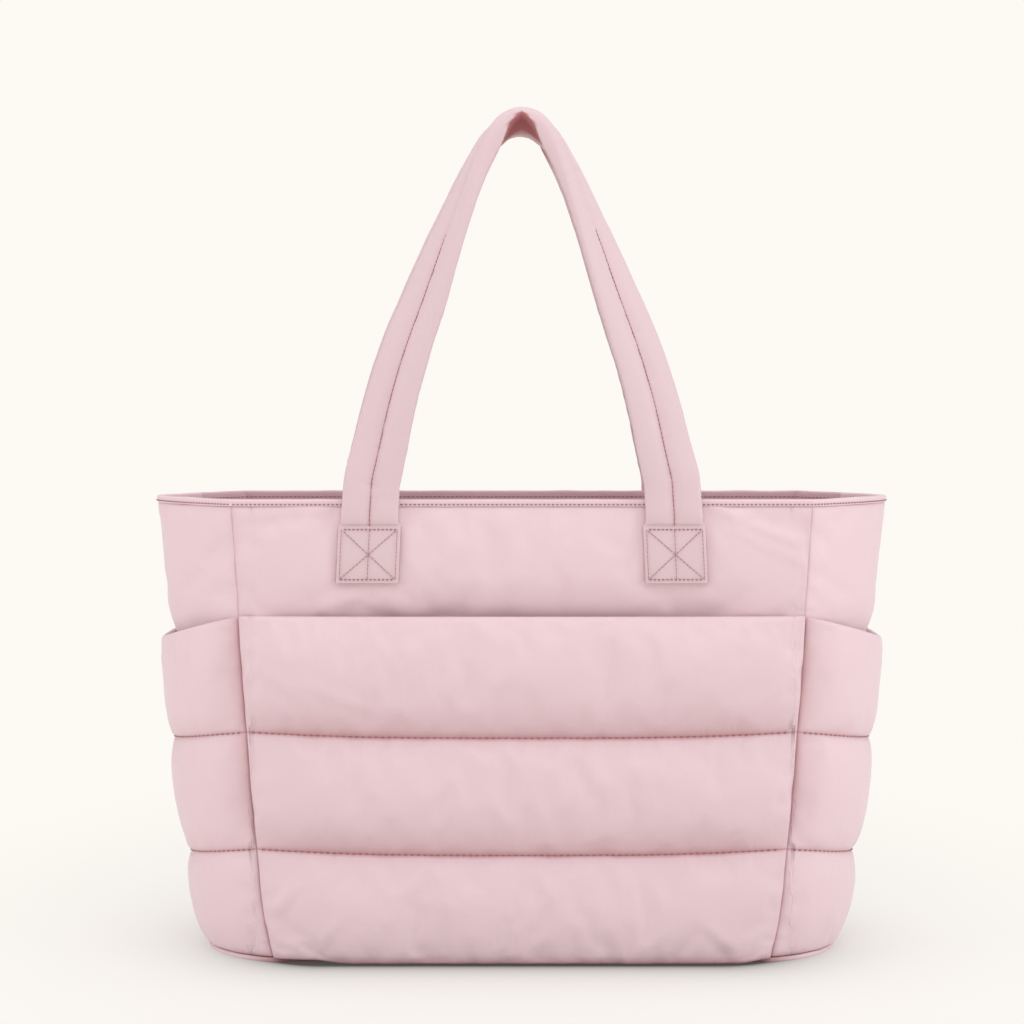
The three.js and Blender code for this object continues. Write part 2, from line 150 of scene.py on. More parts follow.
# Half sizes, corner radius and shift of the footprint that shades the floor, in metres
FOOT_HALF = (0.172, 0.0815)
FOOT_CORNER = 0.045
FOOT_SHIFT = 0.0045
# Camera on the photo's axis: focal length and picture width in pixels, sensor in mm, tilt in degrees
FOCAL_PIXELS = 2985
PHOTO_PIXELS = 1024
SENSOR_WIDTH = 36
CAMERA_PLACE = (-0.0064, -1.992, 0.402)
CAMERA_TILT = 3.26
LIGHT_TARGET = (0, 0, 0.22)
# Name, place, power in watts, width, height and colour of each light
LIGHTS = (
    ("key", (0.3, -1.5, 2.2), 13.2, 1.8, 1.2, (1, 1, 1)),
    ("top", (0.0, 0.1, 2.4), 18, 2.0, 1.6, (1, 1, 1)),
    ("left", (-2.0, -0.9, 0.8), 12.5, 1.2, 1.4, (1, 1, 1)),
    ("right", (2.1, -0.8, 0.8), 17, 1.2, 1.4, (0.92, 0.97, 1)),
)

WALL_BOTTOM = BASE_THICKNESS + PIECE_GAP
SHOULDER = BAG_HEIGHT - BAND_STRIP - PIECE_GAP
TONGUE_TOP = BAG_HEIGHT - BAND_THICKNESS - PIECE_GAP
TONGUE_OUTER = -BAND_THICKNESS - PIECE_GAP
TONGUE_INNER = TONGUE_OUTER - TONGUE_THICKNESS

# Height share, seam half width share, seam half depth share
SEAM_ROWS = [
    (0, 0.849, 1), (0.1, 0.881, 0.99), (0.25, 0.908, 0.972),
    (0.5, 0.942, 0.944), (0.75, 0.971, 0.917), (1, 1, 0.833),
]
# Height share, ridge half width share
RIDGE_ROWS = [
    (0, 0.817), (0.17, 0.854), (0.33, 0.883), (0.5, 0.907), (0.61, 0.918),
    (0.68, 0.939), (0.74, 0.965), (0.81, 0.977), (0.88, 0.986), (1, 1),
]
# Height share, outer and inner face of the front panel as shares of its loft
FRONT_ROWS = [
    (0, 0, -0.35), (0.07, -0.35, -0.75), (0.25, -0.75, -1.15), (0.5, -0.8, -1.2),
    (0.66, -0.8, -1.15), (0.745, -0.4, -0.8), (0.79, 0.05, -0.4), (0.84, 0.4, -0.1),
    (0.93, 0.3, -0.2), (0.985, 0, -0.3),
]
# Rise share, spread share, turn in degrees, then shares of width and thickness of the strap as it folds
STRAP_ROWS = [
    (0.05, 0.97, 3, 1, 1), (0.13, 0.925, 13, 1, 1), (0.258, 0.853, 22, 1, 1), (0.39, 0.757, 28, 1, 1),
    (0.52, 0.64, 37, 1, 1), (0.65, 0.525, 47, 0.96, 1.05), (0.775, 0.405, 56, 0.85, 1.3),
    (0.88, 0.29, 64, 0.72, 1.75), (0.955, 0.18, 76, 0.63, 2.25), (0.99, 0.09, 88, 0.58, 2.45),
    (1, 0, 94, 0.57, 2.5),
]
# Soft folds of the front cloth: both ends as x and z, half width and height of the ridge
FOLDS = [
    (120, 296, 184, 270, 3.2, 1.5), (119, 290, 184, 258, 2.6, 1.0), (-182, 287, -124, 296, 3, 1.2),
    (-106, 241, -135, 228, 3.5, 1.3), (-144, 183, -93, 164, 3.2, 1.4), (-166, 190, -134, 170, 3, 1.3),
    (-160, 33, -144, 53, 3.2, 1.6), (-131, 11, -119, 30, 3, 1.4), (119, 27, 142, 5, 3.2, 1.6),
    (5, 4, 7, 17, 3, 1.0), (50, 3, 47, 15, 3, 1.0), (150, 168, 172, 184, 3, 1.2),
]


def mix(a, b, share):
    return a + (b - a) * share


def clamp(value, low=0.0, high=1.0):
    return min(high, max(low, value))


def ease(value):
    share = clamp(value)
    return share * share * (3 - 2 * share)


def along(rows, column, height):
    """Smooth curve through one column of a table, by height share."""
    last = len(rows) - 1
    i = 0
    while i < last - 1 and height > rows[i + 1][0]:
        i += 1

    def slope(k):
        low, high = rows[max(0, k - 1)], rows[min(last, k + 1)]
        return (high[column] - low[column]) / (high[0] - low[0])

    a, b = rows[i], rows[i + 1]
    span = b[0] - a[0]
    u = clamp((height - a[0]) / span)
    return (
        (2 * u**3 - 3 * u**2 + 1) * a[column]
        + (u**3 - 2 * u**2 + u) * span * slope(i)
        + (3 * u**2 - 2 * u**3) * b[column]
        + (u**3 - u**2) * span * slope(i + 1)
    )


def seam_x(z):
    return SEAM_HALF_WIDTH * along(SEAM_ROWS, 1, z / BAG_HEIGHT)


def seam_y(z):
    return SEAM_HALF_DEPTH * along(SEAM_ROWS, 2, z / BAG_HEIGHT)


def ridge_x(z):
    return RIDGE_HALF_WIDTH * along(RIDGE_ROWS, 1, z / BAG_HEIGHT)


def ridge_power(z):
    return mix(RIDGE_POWER_BASE, RIDGE_POWER_TOP, z / BAG_HEIGHT)


def gusset_normal(share, z):
    power = ridge_power(z)
    bow = (ridge_x(z) - seam_x(z)) * power * abs(share) ** (power - 1)
    x, y = seam_y(z), bow * (1 if share > 0 else -1)
    length = math.hypot(x, y)
    return x / length, y / length


def seam_mitre(z):
    nx, ny = gusset_normal(1, z)
    return nx / (1 + ny)


def front_point(share, z, offset):
    """Point of the front wall by share of its half width, height and offset outward."""
    near = ease((abs(share) - 0.95) / 0.05)
    x = share * seam_x(z) + math.copysign(near * seam_mitre(z) * offset, share)
    return Vector((x, -seam_y(z) - offset, z))


def back_point(share, z, offset):
    point = front_point(share, z, offset)
    point.y = -point.y
    return point


def gusset_point(share, z, offset, side=1):
    power = ridge_power(z)
    start = seam_x(z)
    x = start + (ridge_x(z) - start) * (1 - abs(share) ** power)
    nx, ny = gusset_normal(share, z)
    near = ease((abs(share) - 0.82) / 0.18)
    nx = mix(nx, seam_mitre(z), near)
    ny = mix(ny, math.copysign(1, share), near)
    return Vector((side * (x + nx * offset), seam_y(z) * share + ny * offset, z))


def puff_across(share):
    return (4 * share * (1 - share)) ** 0.6 if 0 < share < 1 else 0.0


def puff_along(share, power=8):
    return max(0.0, 1 - abs(share) ** power) ** 0.6


def panel_fade(share):
    return 1 - abs(share) ** 3


def front_swell(share, z):
    return PANEL_LOFT * along(FRONT_ROWS, 1, z / BAG_HEIGHT) * panel_fade(share)


def quilt_lines(share):
    sag = SEAM_SAG * panel_fade(share)
    return UPPER_SEAM - sag, LOWER_SEAM - sag


def dense_ends(t, weight=0.45):
    """Share from 0 to 1 with steps that shrink towards both ends."""
    return mix(t, 0.5 - 0.5 * math.cos(math.pi * t), weight)


def channel_at(lines, v):
    """Height, share across its channel and channel number for a row share v of stacked channels."""
    count = len(lines) - 1
    k = min(count - 1, int(v * count + 1e-6))
    t = dense_ends(clamp(v * count - k))
    return mix(lines[k], lines[k + 1], t), t, k


def fold_rise(point):
    """Height of the designed soft folds at a point of the front cloth."""
    if point.y > -55:
        return 0.0
    rise = 0.0
    for x0, z0, x1, z1, width, height in FOLDS:
        dx, dz = x1 - x0, z1 - z0
        length = math.hypot(dx, dz)
        run = ((point.x - x0) * dx + (point.z - z0) * dz) / length
        off = ((point.x - x0) * dz - (point.z - z0) * dx) / length
        if -6 < run < length + 6 and abs(off) < 4 * width:
            ends = ease((run + 6) / 14) * ease((length + 6 - run) / 14)
            crest = math.exp(-((off / width) ** 2))
            trough = math.exp(-((off / width - 2) ** 2))
            rise += height * ends * (crest - 0.5 * trough)
    return rise


def rolled_under(z, lines, reach=24):
    """Shade of the cloth that rolls under towards a quilt line below it."""
    near = max((clamp(1 - (z - line) / reach) for line in lines if z >= line), default=0.0)
    return 0.25 * near**1.3 + 0.2 * near**10


def near_line(distance, reach=SEAM_REACH):
    return clamp(1 - abs(distance) / reach)


def near_shoulder(z):
    return SHOULDER_SHADE * near_line(z - SHOULDER, SHOULDER_REACH)


def near_side_seam(share):
    return near_line((1 - abs(share)) * SEAM_HALF_WIDTH)


def side_dip(share):
    """How far the side pockets' lines dip, 1 at the ridge and 0 at the seams."""
    return 1 - abs(share) ** RIDGE_POWER_TOP


# Settings


def metres(label, text, default, low, high):
    return FloatProperty(
        name=label, description=text, default=default, min=low, max=high, unit="LENGTH")


class ToteSizes(bpy.types.PropertyGroup):
    grid_step: metres("Cloth grid", "Spacing of the cloth's grid", 0.0036, 0.002, 0.01)
    front_puff: metres("Front puff", "Rise of the front pocket's channels", 0.0098, 0, 0.02)
    back_puff: metres("Back puff", "Rise of the back panel's channels", 0.0115, 0, 0.02)
    side_puff: metres("Side puff", "Rise of the side pockets' channels", 0.0048, 0, 0.02)
    cloth_spare: FloatProperty(
        name="Spare cloth", description="How much larger the cloth is cut than the space it fills",
        default=1.8, min=0, max=15, subtype="PERCENTAGE")
    air_pressure: FloatProperty(
        name="Filling pressure", description="Push of the filling in the cloth simulation",
        default=4.0, min=0, max=20)
    cloth_frames: IntProperty(
        name="Cloth frames", description="Length of the cloth simulation",
        default=20, min=1, max=60)
    stitch_pitch: metres("Stitch pitch", "Distance from stitch to stitch", 0.0034, 0.002, 0.01)
    thread_radius: metres("Thread radius", "Half the thickness of the thread", 0.00028, 0.0001, 0.001)


def colour(label, text, default):
    return FloatVectorProperty(
        name=label, description=text, default=default, size=3, min=0, max=1, subtype="COLOR")


class ToteColours(bpy.types.PropertyGroup):
    body: colour("Body", "Colour of the plain walls", (0.78, 0.583, 0.622))
    quilt: colour("Pockets", "Colour of the quilted pockets", (0.765, 0.571, 0.607))
    strap: colour("Straps", "Colour of the handles", (0.705, 0.527, 0.555))
    # Seam shade is painted shade: the cloth darkens to this colour along its quilt lines and seams, standing
    # in for the shade in their grooves
    deep: colour("Seam shade", "Colour that the cloth takes on along its seams", (0.50, 0.25, 0.27))
    thread: colour("Thread", "Colour of the sewing thread", (0.33, 0.14, 0.15))
    floor: colour("Floor", "Colour of the floor", (0.82, 0.80, 0.775))
    backdrop: colour("Background", "Colour behind the object", (0.982, 0.948, 0.896))


def sizes():
    return bpy.context.scene.tote_sizes


def colours():
    return bpy.context.scene.tote_colours


# Materials


def socket(group, name, kind, direction, default=None):
    item = group.interface.new_socket(name=name, in_out=direction, socket_type=kind)
    if default is not None:
        item.default_value = default
    return item


class Nodes:
    """Small helper that adds linked nodes to a tree."""

    def __init__(self, tree):
        self.tree = tree

    def add(self, kind, settings=None, **inputs):
        node = self.tree.nodes.new(kind)
        for key, value in (settings or {}).items():
            setattr(node, key, value)
        for key, value in inputs.items():
            self.put(node, key, value)
        return node

    def put(self, node, key, value):
        slot = node.inputs[int(key[1:])] if key[0] == "i" and key[1:].isdigit() else node.inputs[key]
        if isinstance(value, bpy.types.NodeSocket):
            self.tree.links.new(value, slot)
        else:
            slot.default_value = value

    def math(self, operation, a, b=0.0, c=0.0):
        node = self.add("ShaderNodeMath", {"operation": operation}, i0=a, i1=b)
        if len(node.inputs) > 2:
            self.put(node, "i2", c)
        return node.outputs[0]

    def vector(self, operation, a, b=(0.0, 0.0, 0.0)):
        node = self.add("ShaderNodeVectorMath", {"operation": operation}, i0=a, i1=b)
        return node.outputs["Value" if operation == "LENGTH" else "Vector"]

    def attribute(self, name):
        return self.add("ShaderNodeAttribute", {"attribute_name": name}).outputs["Fac"]

    def noise(self, vector, scale, detail=2.0, roughness=0.5, distortion=0.0):
        node = self.add("ShaderNodeTexNoise", Vector=vector, Scale=scale, Detail=detail,
                        Roughness=roughness, Distortion=distortion)
        return node.outputs["Fac"]

    def blend(self, factor, a, b):
        node = self.add("ShaderNodeMix", {"data_type": "RGBA"}, i0=factor)
        self.put(node, "i6", a)
        self.put(node, "i7", b)
        return node.outputs[2]


def nylon_group():
    """Shared cloth effects: weave, soft creases, puckers along seams, painted seam shade and painted shade in
    folds and under parts.
    """
    group = bpy.data.node_groups.new("quilted_nylon", "ShaderNodeTree")
    socket(group, "Cloth", "NodeSocketColor", "INPUT", (0.8, 0.56, 0.59, 1))
    socket(group, "Deep", "NodeSocketColor", "INPUT", (0.56, 0.3, 0.33, 1))
    socket(group, "Cloth UV", "NodeSocketVector", "INPUT")
    socket(group, "Place", "NodeSocketVector", "INPUT")
    socket(group, "Level Seam", "NodeSocketFloat", "INPUT", 0.0)
    socket(group, "Upright Seam", "NodeSocketFloat", "INPUT", 0.0)
    socket(group, "Hollow", "NodeSocketFloat", "INPUT", 0.0)
    socket(group, "Puckers", "NodeSocketFloat", "INPUT", 1.0)
    socket(group, "Color", "NodeSocketColor", "OUTPUT")
    socket(group, "Roughness", "NodeSocketFloat", "OUTPUT")
    socket(group, "Height", "NodeSocketFloat", "OUTPUT")
    n = Nodes(group)
    given = n.add("NodeGroupInput").outputs
    uv, place = given["Cloth UV"], given["Place"]
    level, upright = given["Level Seam"], given["Upright Seam"]

    # The UV is in metres of cloth, so these scales are per metre.
    part = n.add("ShaderNodeSeparateXYZ", Vector=uv).outputs
    warp = n.math("SINE", n.math("MULTIPLY", part[0], WEAVE_TURN))
    weft = n.math("SINE", n.math("MULTIPLY", part[1], WEAVE_TURN))
    weave = n.math("MULTIPLY", n.math("MULTIPLY", warp, weft), 0.012)

    gathers = n.noise(n.vector("MULTIPLY", uv, (105.0, 26.0, 1.0)), 1.0, 1.0, 0.5, 0.5)
    side_gathers = n.noise(n.vector("MULTIPLY", uv, (26.0, 95.0, 1.0)), 1.0, 1.0, 0.5, 0.5)
    level_pull = n.math("MULTIPLY", n.math("POWER", level, 1.6), n.math("SUBTRACT", gathers, 0.5))
    side_pull = n.math("MULTIPLY", n.math("POWER", upright, 1.6), n.math("SUBTRACT", side_gathers, 0.5))
    puckers = n.math("MULTIPLY", n.math("ADD", level_pull, side_pull), given["Puckers"])
    puckers = n.math("MULTIPLY", puckers, 1.9)

    folds = n.noise(place, 26.0, 3.0, 0.55, 0.6)
    creases = n.noise(place, 75.0, 3.0, 0.6, 1.2)
    soft = n.math("MULTIPLY_ADD", folds, 0.55, n.math("MULTIPLY", creases, 0.16))
    height = n.math("ADD", n.math("ADD", weave, soft), puckers)

    tone = n.noise(place, 9.0, 2.0, 0.5)
    # Painted seam shade: close to quilt lines and side seams the cloth darkens towards the Deep colour, with
    # a little random tone on top
    seam = n.math("MAXIMUM", level, n.math("MULTIPLY", upright, 0.93))
    near = n.math("MULTIPLY", n.math("POWER", seam, 5.0), 0.22)
    shade = n.math("MULTIPLY_ADD", n.math("POWER", seam, 26.0), 0.75, near)
    shade = n.math("ADD", shade, n.math("MULTIPLY", n.math("SUBTRACT", tone, 0.5), 0.1))
    shade = n.math("MAXIMUM", shade, 0.0)
    cloth = n.blend(shade, given["Cloth"], given["Deep"])
    # Painted shade from the vertex attribute darkens folds, undersides and cloth that rolls under a quilt
    # line
    cloth = n.blend(given["Hollow"], cloth, PAINTED_SHADE_TINT)
    rough = n.math("MULTIPLY_ADD", creases, 0.14, 0.42)
    rough = n.math("ADD", rough, n.math("MULTIPLY", weave, 2.0))
    n.add("NodeGroupOutput", Color=cloth, Roughness=rough, Height=height)
    return group


def nylon(name, tint, puckers):
    """Satin nylon that reads the piece's own UV, its distance to level and upright seams, and its painted
    shade.
    """
    group = bpy.data.node_groups.get("quilted_nylon") or nylon_group()
    material = bpy.data.materials.new(name)
    material.use_nodes = True
    tree = material.node_tree
    tree.nodes.clear()
    n = Nodes(tree)
    uv = n.add("ShaderNodeUVMap", {"uv_map": "Cloth"}).outputs[0]
    place = n.add("ShaderNodeTexCoord").outputs["Object"]
    level = n.attribute("level_seam")
    upright = n.attribute("upright_seam")
    hollow = n.attribute("hollow")
    cloth = n.add("ShaderNodeGroup", {"node_tree": group})
    for key, value in {
        "Cloth": (*tint, 1), "Deep": (*colours().deep, 1), "Cloth UV": uv, "Place": place,
        "Level Seam": level, "Upright Seam": upright, "Hollow": hollow, "Puckers": puckers,
    }.items():
        n.put(cloth, key, value)
    bump = n.add("ShaderNodeBump", Height=cloth.outputs["Height"], Strength=1.0, Distance=MM)
    shader = n.add("ShaderNodeBsdfPrincipled")
    n.put(shader, "Base Color", cloth.outputs["Color"])
    n.put(shader, "Roughness", cloth.outputs["Roughness"])
    n.put(shader, "Normal", bump.outputs[0])
    shader.inputs["Specular IOR Level"].default_value = 0.35
    shader.inputs["Sheen Weight"].default_value = 0.2
    shader.inputs["Sheen Roughness"].default_value = 0.45
    n.add("ShaderNodeOutputMaterial", Surface=shader.outputs[0])
    return material


def thread_material():
    material = bpy.data.materials.new("thread")
    material.use_nodes = True
    tree = material.node_tree
    n = Nodes(tree)
    shader = tree.nodes["Principled BSDF"]
    place = n.add("ShaderNodeTexCoord").outputs["Object"]
    fibre = n.noise(place, 900.0, 2.0)
    thread = (*colours().thread, 1)
    pale = tuple(min(1.0, c * 1.25) for c in thread[:3]) + (1,)
    n.put(shader, "Base Color", n.blend(fibre, thread, pale))
    n.put(shader, "Roughness", n.math("MULTIPLY_ADD", fibre, 0.2, 0.45))
    return material


def material(name, tint=None, puckers=1.0):
    found = bpy.data.materials.get(name)
    if found:
        return found
    return thread_material() if name == "thread" else nylon(name, tint, puckers)


# Meshes


def grid_of(bm, columns, rows):
    """Flat grid whose vertices carry their shares u and v, both from 0 to 1."""
    made = bmesh.ops.create_grid(bm, x_segments=columns, y_segments=rows, size=1)["verts"]
    return [(vert, (vert.co.x + 1) / 2, (vert.co.y + 1) / 2) for vert in made]


def new_object(name, mesh):
    piece = bpy.data.objects.new(name, mesh)
    bpy.context.scene.collection.objects.link(piece)
    return piece


def finish_mesh(bm, piece, smooth=True):
    bmesh.ops.recalc_face_normals(bm, faces=bm.faces)
    for face in bm.faces:
        face.smooth = smooth
    bm.to_mesh(piece.data)
    bm.free()
    piece.data.update()


def inflated(places, columns, rows, pins, growth, pressure, cap):
    """Places of a pinned grid after a cloth simulation fills it, each moved by at most cap millimetres."""
    bm = bmesh.new()
    weights = bm.verts.layers.deform.verify()
    for (vert, _, _), place, pin in zip(grid_of(bm, columns, rows), places, pins):
        wobble = (1 - pin) * 0.5 * noise.noise(place * 0.055)
        vert.co = (place + outward(place) * wobble) * MM
        vert[weights][0] = pin
    bm.normal_update()
    bm.faces.ensure_lookup_table()
    middle = bm.faces[len(bm.faces) // 2]
    if middle.normal.dot(outward(middle.calc_center_median() / MM)) < 0:
        bmesh.ops.reverse_faces(bm, faces=bm.faces)
    sheet = new_object("loose_cloth", bpy.data.meshes.new("loose_cloth"))
    bm.to_mesh(sheet.data)
    bm.free()
    sheet.vertex_groups.new(name="pin")

    cloth = sheet.modifiers.new("Cloth", "CLOTH")
    settings = cloth.settings
    for name, value in {
        "quality": 5, "mass": 0.15, "air_damping": 2.0, "tension_stiffness": 20,
        "compression_stiffness": 20, "shear_stiffness": 8, "bending_stiffness": 0.2,
        "vertex_group_mass": "pin", "shrink_min": -growth / 100,
        "use_pressure": True, "uniform_pressure_force": pressure,
    }.items():
        setattr(settings, name, value)
    settings.effector_weights.gravity = 0
    last = sizes().cloth_frames
    cloth.point_cache.frame_start = 1
    cloth.point_cache.frame_end = last
    scene = bpy.context.scene
    for step in range(1, last + 1):
        scene.frame_set(step)
    shaped = sheet.evaluated_get(bpy.context.evaluated_depsgraph_get()).to_mesh()
    moved = [vert.co / MM for vert in shaped.vertices]
    scene.frame_set(1)
    mesh = sheet.data
    bpy.data.objects.remove(sheet)
    bpy.data.meshes.remove(mesh)
    result = []
    for before, after in zip(places, moved):
        shift = after - before
        if shift.length > cap:
            shift *= cap / shift.length
        sunk = -shift.dot(outward(before)) - SINK_LIMIT
        shift += outward(before) * max(0.0, sunk)
        result.append(before + shift)
    return result


def smoothed(piece):
    smooth = piece.modifiers.new("Smooth", "SUBSURF")
    smooth.levels = 1
    smooth.render_levels = 1
    return piece


def cloth_bmesh():
    """Empty bmesh with the layers that the nylon reads."""
    bm = bmesh.new()
    chart = bm.loops.layers.uv.new("Cloth")
    level = bm.verts.layers.float.new("level_seam")
    upright = bm.verts.layers.float.new("upright_seam")
    bm.verts.layers.float.new("hollow")
    return bm, chart, level, upright


def soft_sheet(name, columns, rows, outer, inner, pin, seams, play):
    """Padded closed sheet: its outer face is a simulated cloth, its inner face a plain one behind it."""
    bm, chart, level, upright = cloth_bmesh()
    shares = [(u, v) for _, u, v in grid_of(bm, columns, rows)]
    grid_of(bm, columns, rows)
    count = len(shares)
    plain = [outer(u, v) for u, v in shares]
    soft = plain
    spare, push, cap = play
    growth = sizes().cloth_spare * spare
    if growth > 0:
        pins = [pin(u, v) for u, v in shares]
        soft = inflated(plain, columns, rows, pins, growth, sizes().air_pressure * push, cap)
    hollow = bm.verts.layers.float["hollow"]
    bm.verts.index_update()
    bm.verts.ensure_lookup_table()
    for i, (u, v) in enumerate(shares):
        bm.verts[i].co = (soft[i] + outward(plain[i]) * fold_rise(plain[i])) * MM
        # Each sheet's seams give its seam closeness and a painted shade; the front also gets painted shade
        # low down, where the cloth turns under towards the floor
        bm.verts[i][level], bm.verts[i][upright], painted_dark = seams(u, v)
        under = 0.5 * ease(1 - soft[i].z / 9) if soft[i].y < -60 else 0.0
        bm.verts[i][hollow] = max(painted_dark, under)
        bm.verts[i + count].co = inner(u, v) * MM
    for edge in [edge for edge in bm.edges if edge.is_boundary and edge.verts[0].index < count]:
        a, b = (vert.index for vert in edge.verts)
        bm.faces.new((bm.verts[a], bm.verts[b], bm.verts[b + count], bm.verts[a + count]))
    for face in bm.faces:
        for loop in face.loops:
            loop[chart].uv = cloth_uv(plain[loop.vert.index % count])
    piece = new_object(name, bpy.data.meshes.new(name))
    finish_mesh(bm, piece)
    return smoothed(piece)


def outward(point):
    """Rough outward direction of the bag's wall at a point."""
    if abs(point.x) > seam_x(clamp(point.z, 0, BAG_HEIGHT)) + 0.5:
        direction = Vector((point.x - math.copysign(BOW_CENTRE, point.x), point.y * 0.6, 0))
    else:
        direction = Vector((0, point.y, 0))
    return direction.normalized()


def cloth_uv(point):
    """Cloth coordinates in metres: around the bag and up."""
    around = point.x
    if abs(point.x) >= CHART_CORNER:
        around = math.copysign(CHART_CORNER, point.x) + point.y
    return around * MM, point.z * MM


def dress(piece, node, tint, puckers):
    piece.data.materials.append(material(f"nylon_{node}", tint, puckers))
    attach(piece, "root")
    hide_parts(node)


def steps(length):
    return max(4, round(length / (sizes().grid_step / MM)))


def edge_pin(u, v):
    return 1.0 if min(u, 1 - u, v, 1 - v) < ON_LINE else 0.0


def line_pin(u, v, t):
    """Pin on the sheet's edges and on the quilt lines, by share t across a channel."""
    return 1.0 if edge_pin(u, v) or t < ON_LINE or t > 1 - ON_LINE else 0.0


def signed(u):
    """Column share from -1 to 1, with finer steps near the side seams."""
    s = 2 * u - 1
    value = mix(s, math.sin(s * math.pi / 2), 0.45)
    return math.copysign(1.0, value) if abs(value) > 0.99999 else value


# Walls


def tongue_row(into):
    """Height of a row in the tongue under the rim band by its share, and how far it is set back."""
    if into < 0.5:
        return mix(SHOULDER - SHOULDER_LEDGE, SHOULDER, into * 2), into * 2
    return mix(SHOULDER, TONGUE_TOP, into * 2 - 1), 1.0


def wall_row(v):
    """Height of a wall's row, and how far it is into the tongue under the rim band."""
    wall = 1 - TONGUE_ROWS
    if v <= wall:
        return mix(WALL_BOTTOM, SHOULDER - SHOULDER_LEDGE, v / wall), 0.0
    return tongue_row((v - wall) / TONGUE_ROWS)


def under_tab(x, z, spread):
    beside = abs(abs(x) - spread) < TAB_WIDTH / 2 + HELD_BORDER
    return beside and z > TAB_TOP - TAB_HEIGHT - HELD_BORDER


def make_front_panel():
    def outer(u, v):
        share = signed(u)
        z, into = wall_row(v)
        return front_point(share, z, mix(front_swell(share, z), TONGUE_OUTER, into))

    def inner(u, v):
        share = signed(u)
        z, into = wall_row(v)
        middle = PANEL_LOFT * along(FRONT_ROWS, 2, z / BAG_HEIGHT)
        depth = mix(-SEAM_THICKNESS, middle, panel_fade(share))
        return front_point(share, z, mix(depth, TONGUE_INNER, into))

    def pin(u, v):
        z, into = wall_row(v)
        x = signed(u) * seam_x(z)
        fixed = edge_pin(u, v) or into > 0 or z > SHOULDER - HELD_TOP
        behind_pocket = z < POCKET_TOP - 20
        return 1.0 if fixed or behind_pocket or under_tab(x, z, FRONT_HANG[0]) else 0.0

    def seams(u, v):
        share = signed(u)
        z, _ = wall_row(v)
        # Painted shade on the yoke just above the pocket's mouth, where the cloth turns in
        painted_dark = 0.45 * rolled_under(z, (POCKET_TOP,), 26) * panel_fade(share)
        return near_shoulder(z), near_side_seam(share), painted_dark

    piece = soft_sheet("front_wall", steps(PANEL_RUN), steps(WALL_RISE),
                       outer, inner, pin, seams, FRONT_PLAY)
    dress(piece, "front_panel", colours().body, puckers=0.7)


def make_back_panel():
    puff_height = sizes().back_puff / MM
    # Shares of the rows that the quilted channels and the plain yoke take
    quilt = 0.74
    yoke = 0.2

    def place(u, v):
        share = signed(u)
        upper, lower = quilt_lines(share)
        if v <= quilt:
            z, t, k = channel_at([WALL_BOTTOM, lower, upper, POCKET_TOP], v / quilt)
            return share, z, t, k, 0.0
        if v <= quilt + yoke:
            z = mix(POCKET_TOP, SHOULDER - SHOULDER_LEDGE, clamp((v - quilt) / yoke))
            return share, z, 0.0, 3, 0.0
        z, into = tongue_row((v - quilt - yoke) / (1 - yoke - quilt))
        return share, z, 0.0, 3, into

    def outer(u, v):
        share, z, t, k, into = place(u, v)
        fade = panel_fade(share)
        stand = mix(BASE_LIP - PIECE_GAP, BACK_STAND_OFF, fade * min(1, k + t))
        swell = mix(front_swell(share, z), stand, ease((POCKET_TOP - z) / LIP_FADE))
        puff = puff_height * puff_across(t) * puff_along(share) if k < 3 else 0.0
        return back_point(share, z, mix(swell + puff, TONGUE_OUTER, into))

    def inner(u, v):
        share, z, t, k, into = place(u, v)
        fade = panel_fade(share)
        depth = mix(-SEAM_THICKNESS, -1, fade)
        if k < 3:
            depth = -SEAM_THICKNESS - 2 * fade * puff_across(t)
        return back_point(share, z, mix(depth, TONGUE_INNER, into))

    def pin(u, v):
        share, z, t, k, into = place(u, v)
        x = share * seam_x(z)
        on_line = k < 3 and line_pin(u, v, t)
        on_top = abs(v - quilt) < 1e-3
        fixed = edge_pin(u, v) or into > 0 or z > SHOULDER - HELD_TOP or on_line or on_top
        return 1.0 if fixed or under_tab(x - BACK_HANG[1], z, BACK_HANG[0]) else 0.0

    def seams(u, v):
        share, z, *_ = place(u, v)
        lines = (*quilt_lines(share), POCKET_TOP, WALL_BOTTOM)
        level = max(near_line(z - line) for line in lines)
        return max(level, near_shoulder(z)), near_side_seam(share), 0.0

    piece = soft_sheet("back_wall", steps(PANEL_RUN), 100, outer, inner, pin, seams, QUILT_PLAY)
    dress(piece, "back_panel", colours().body, puckers=1.0)


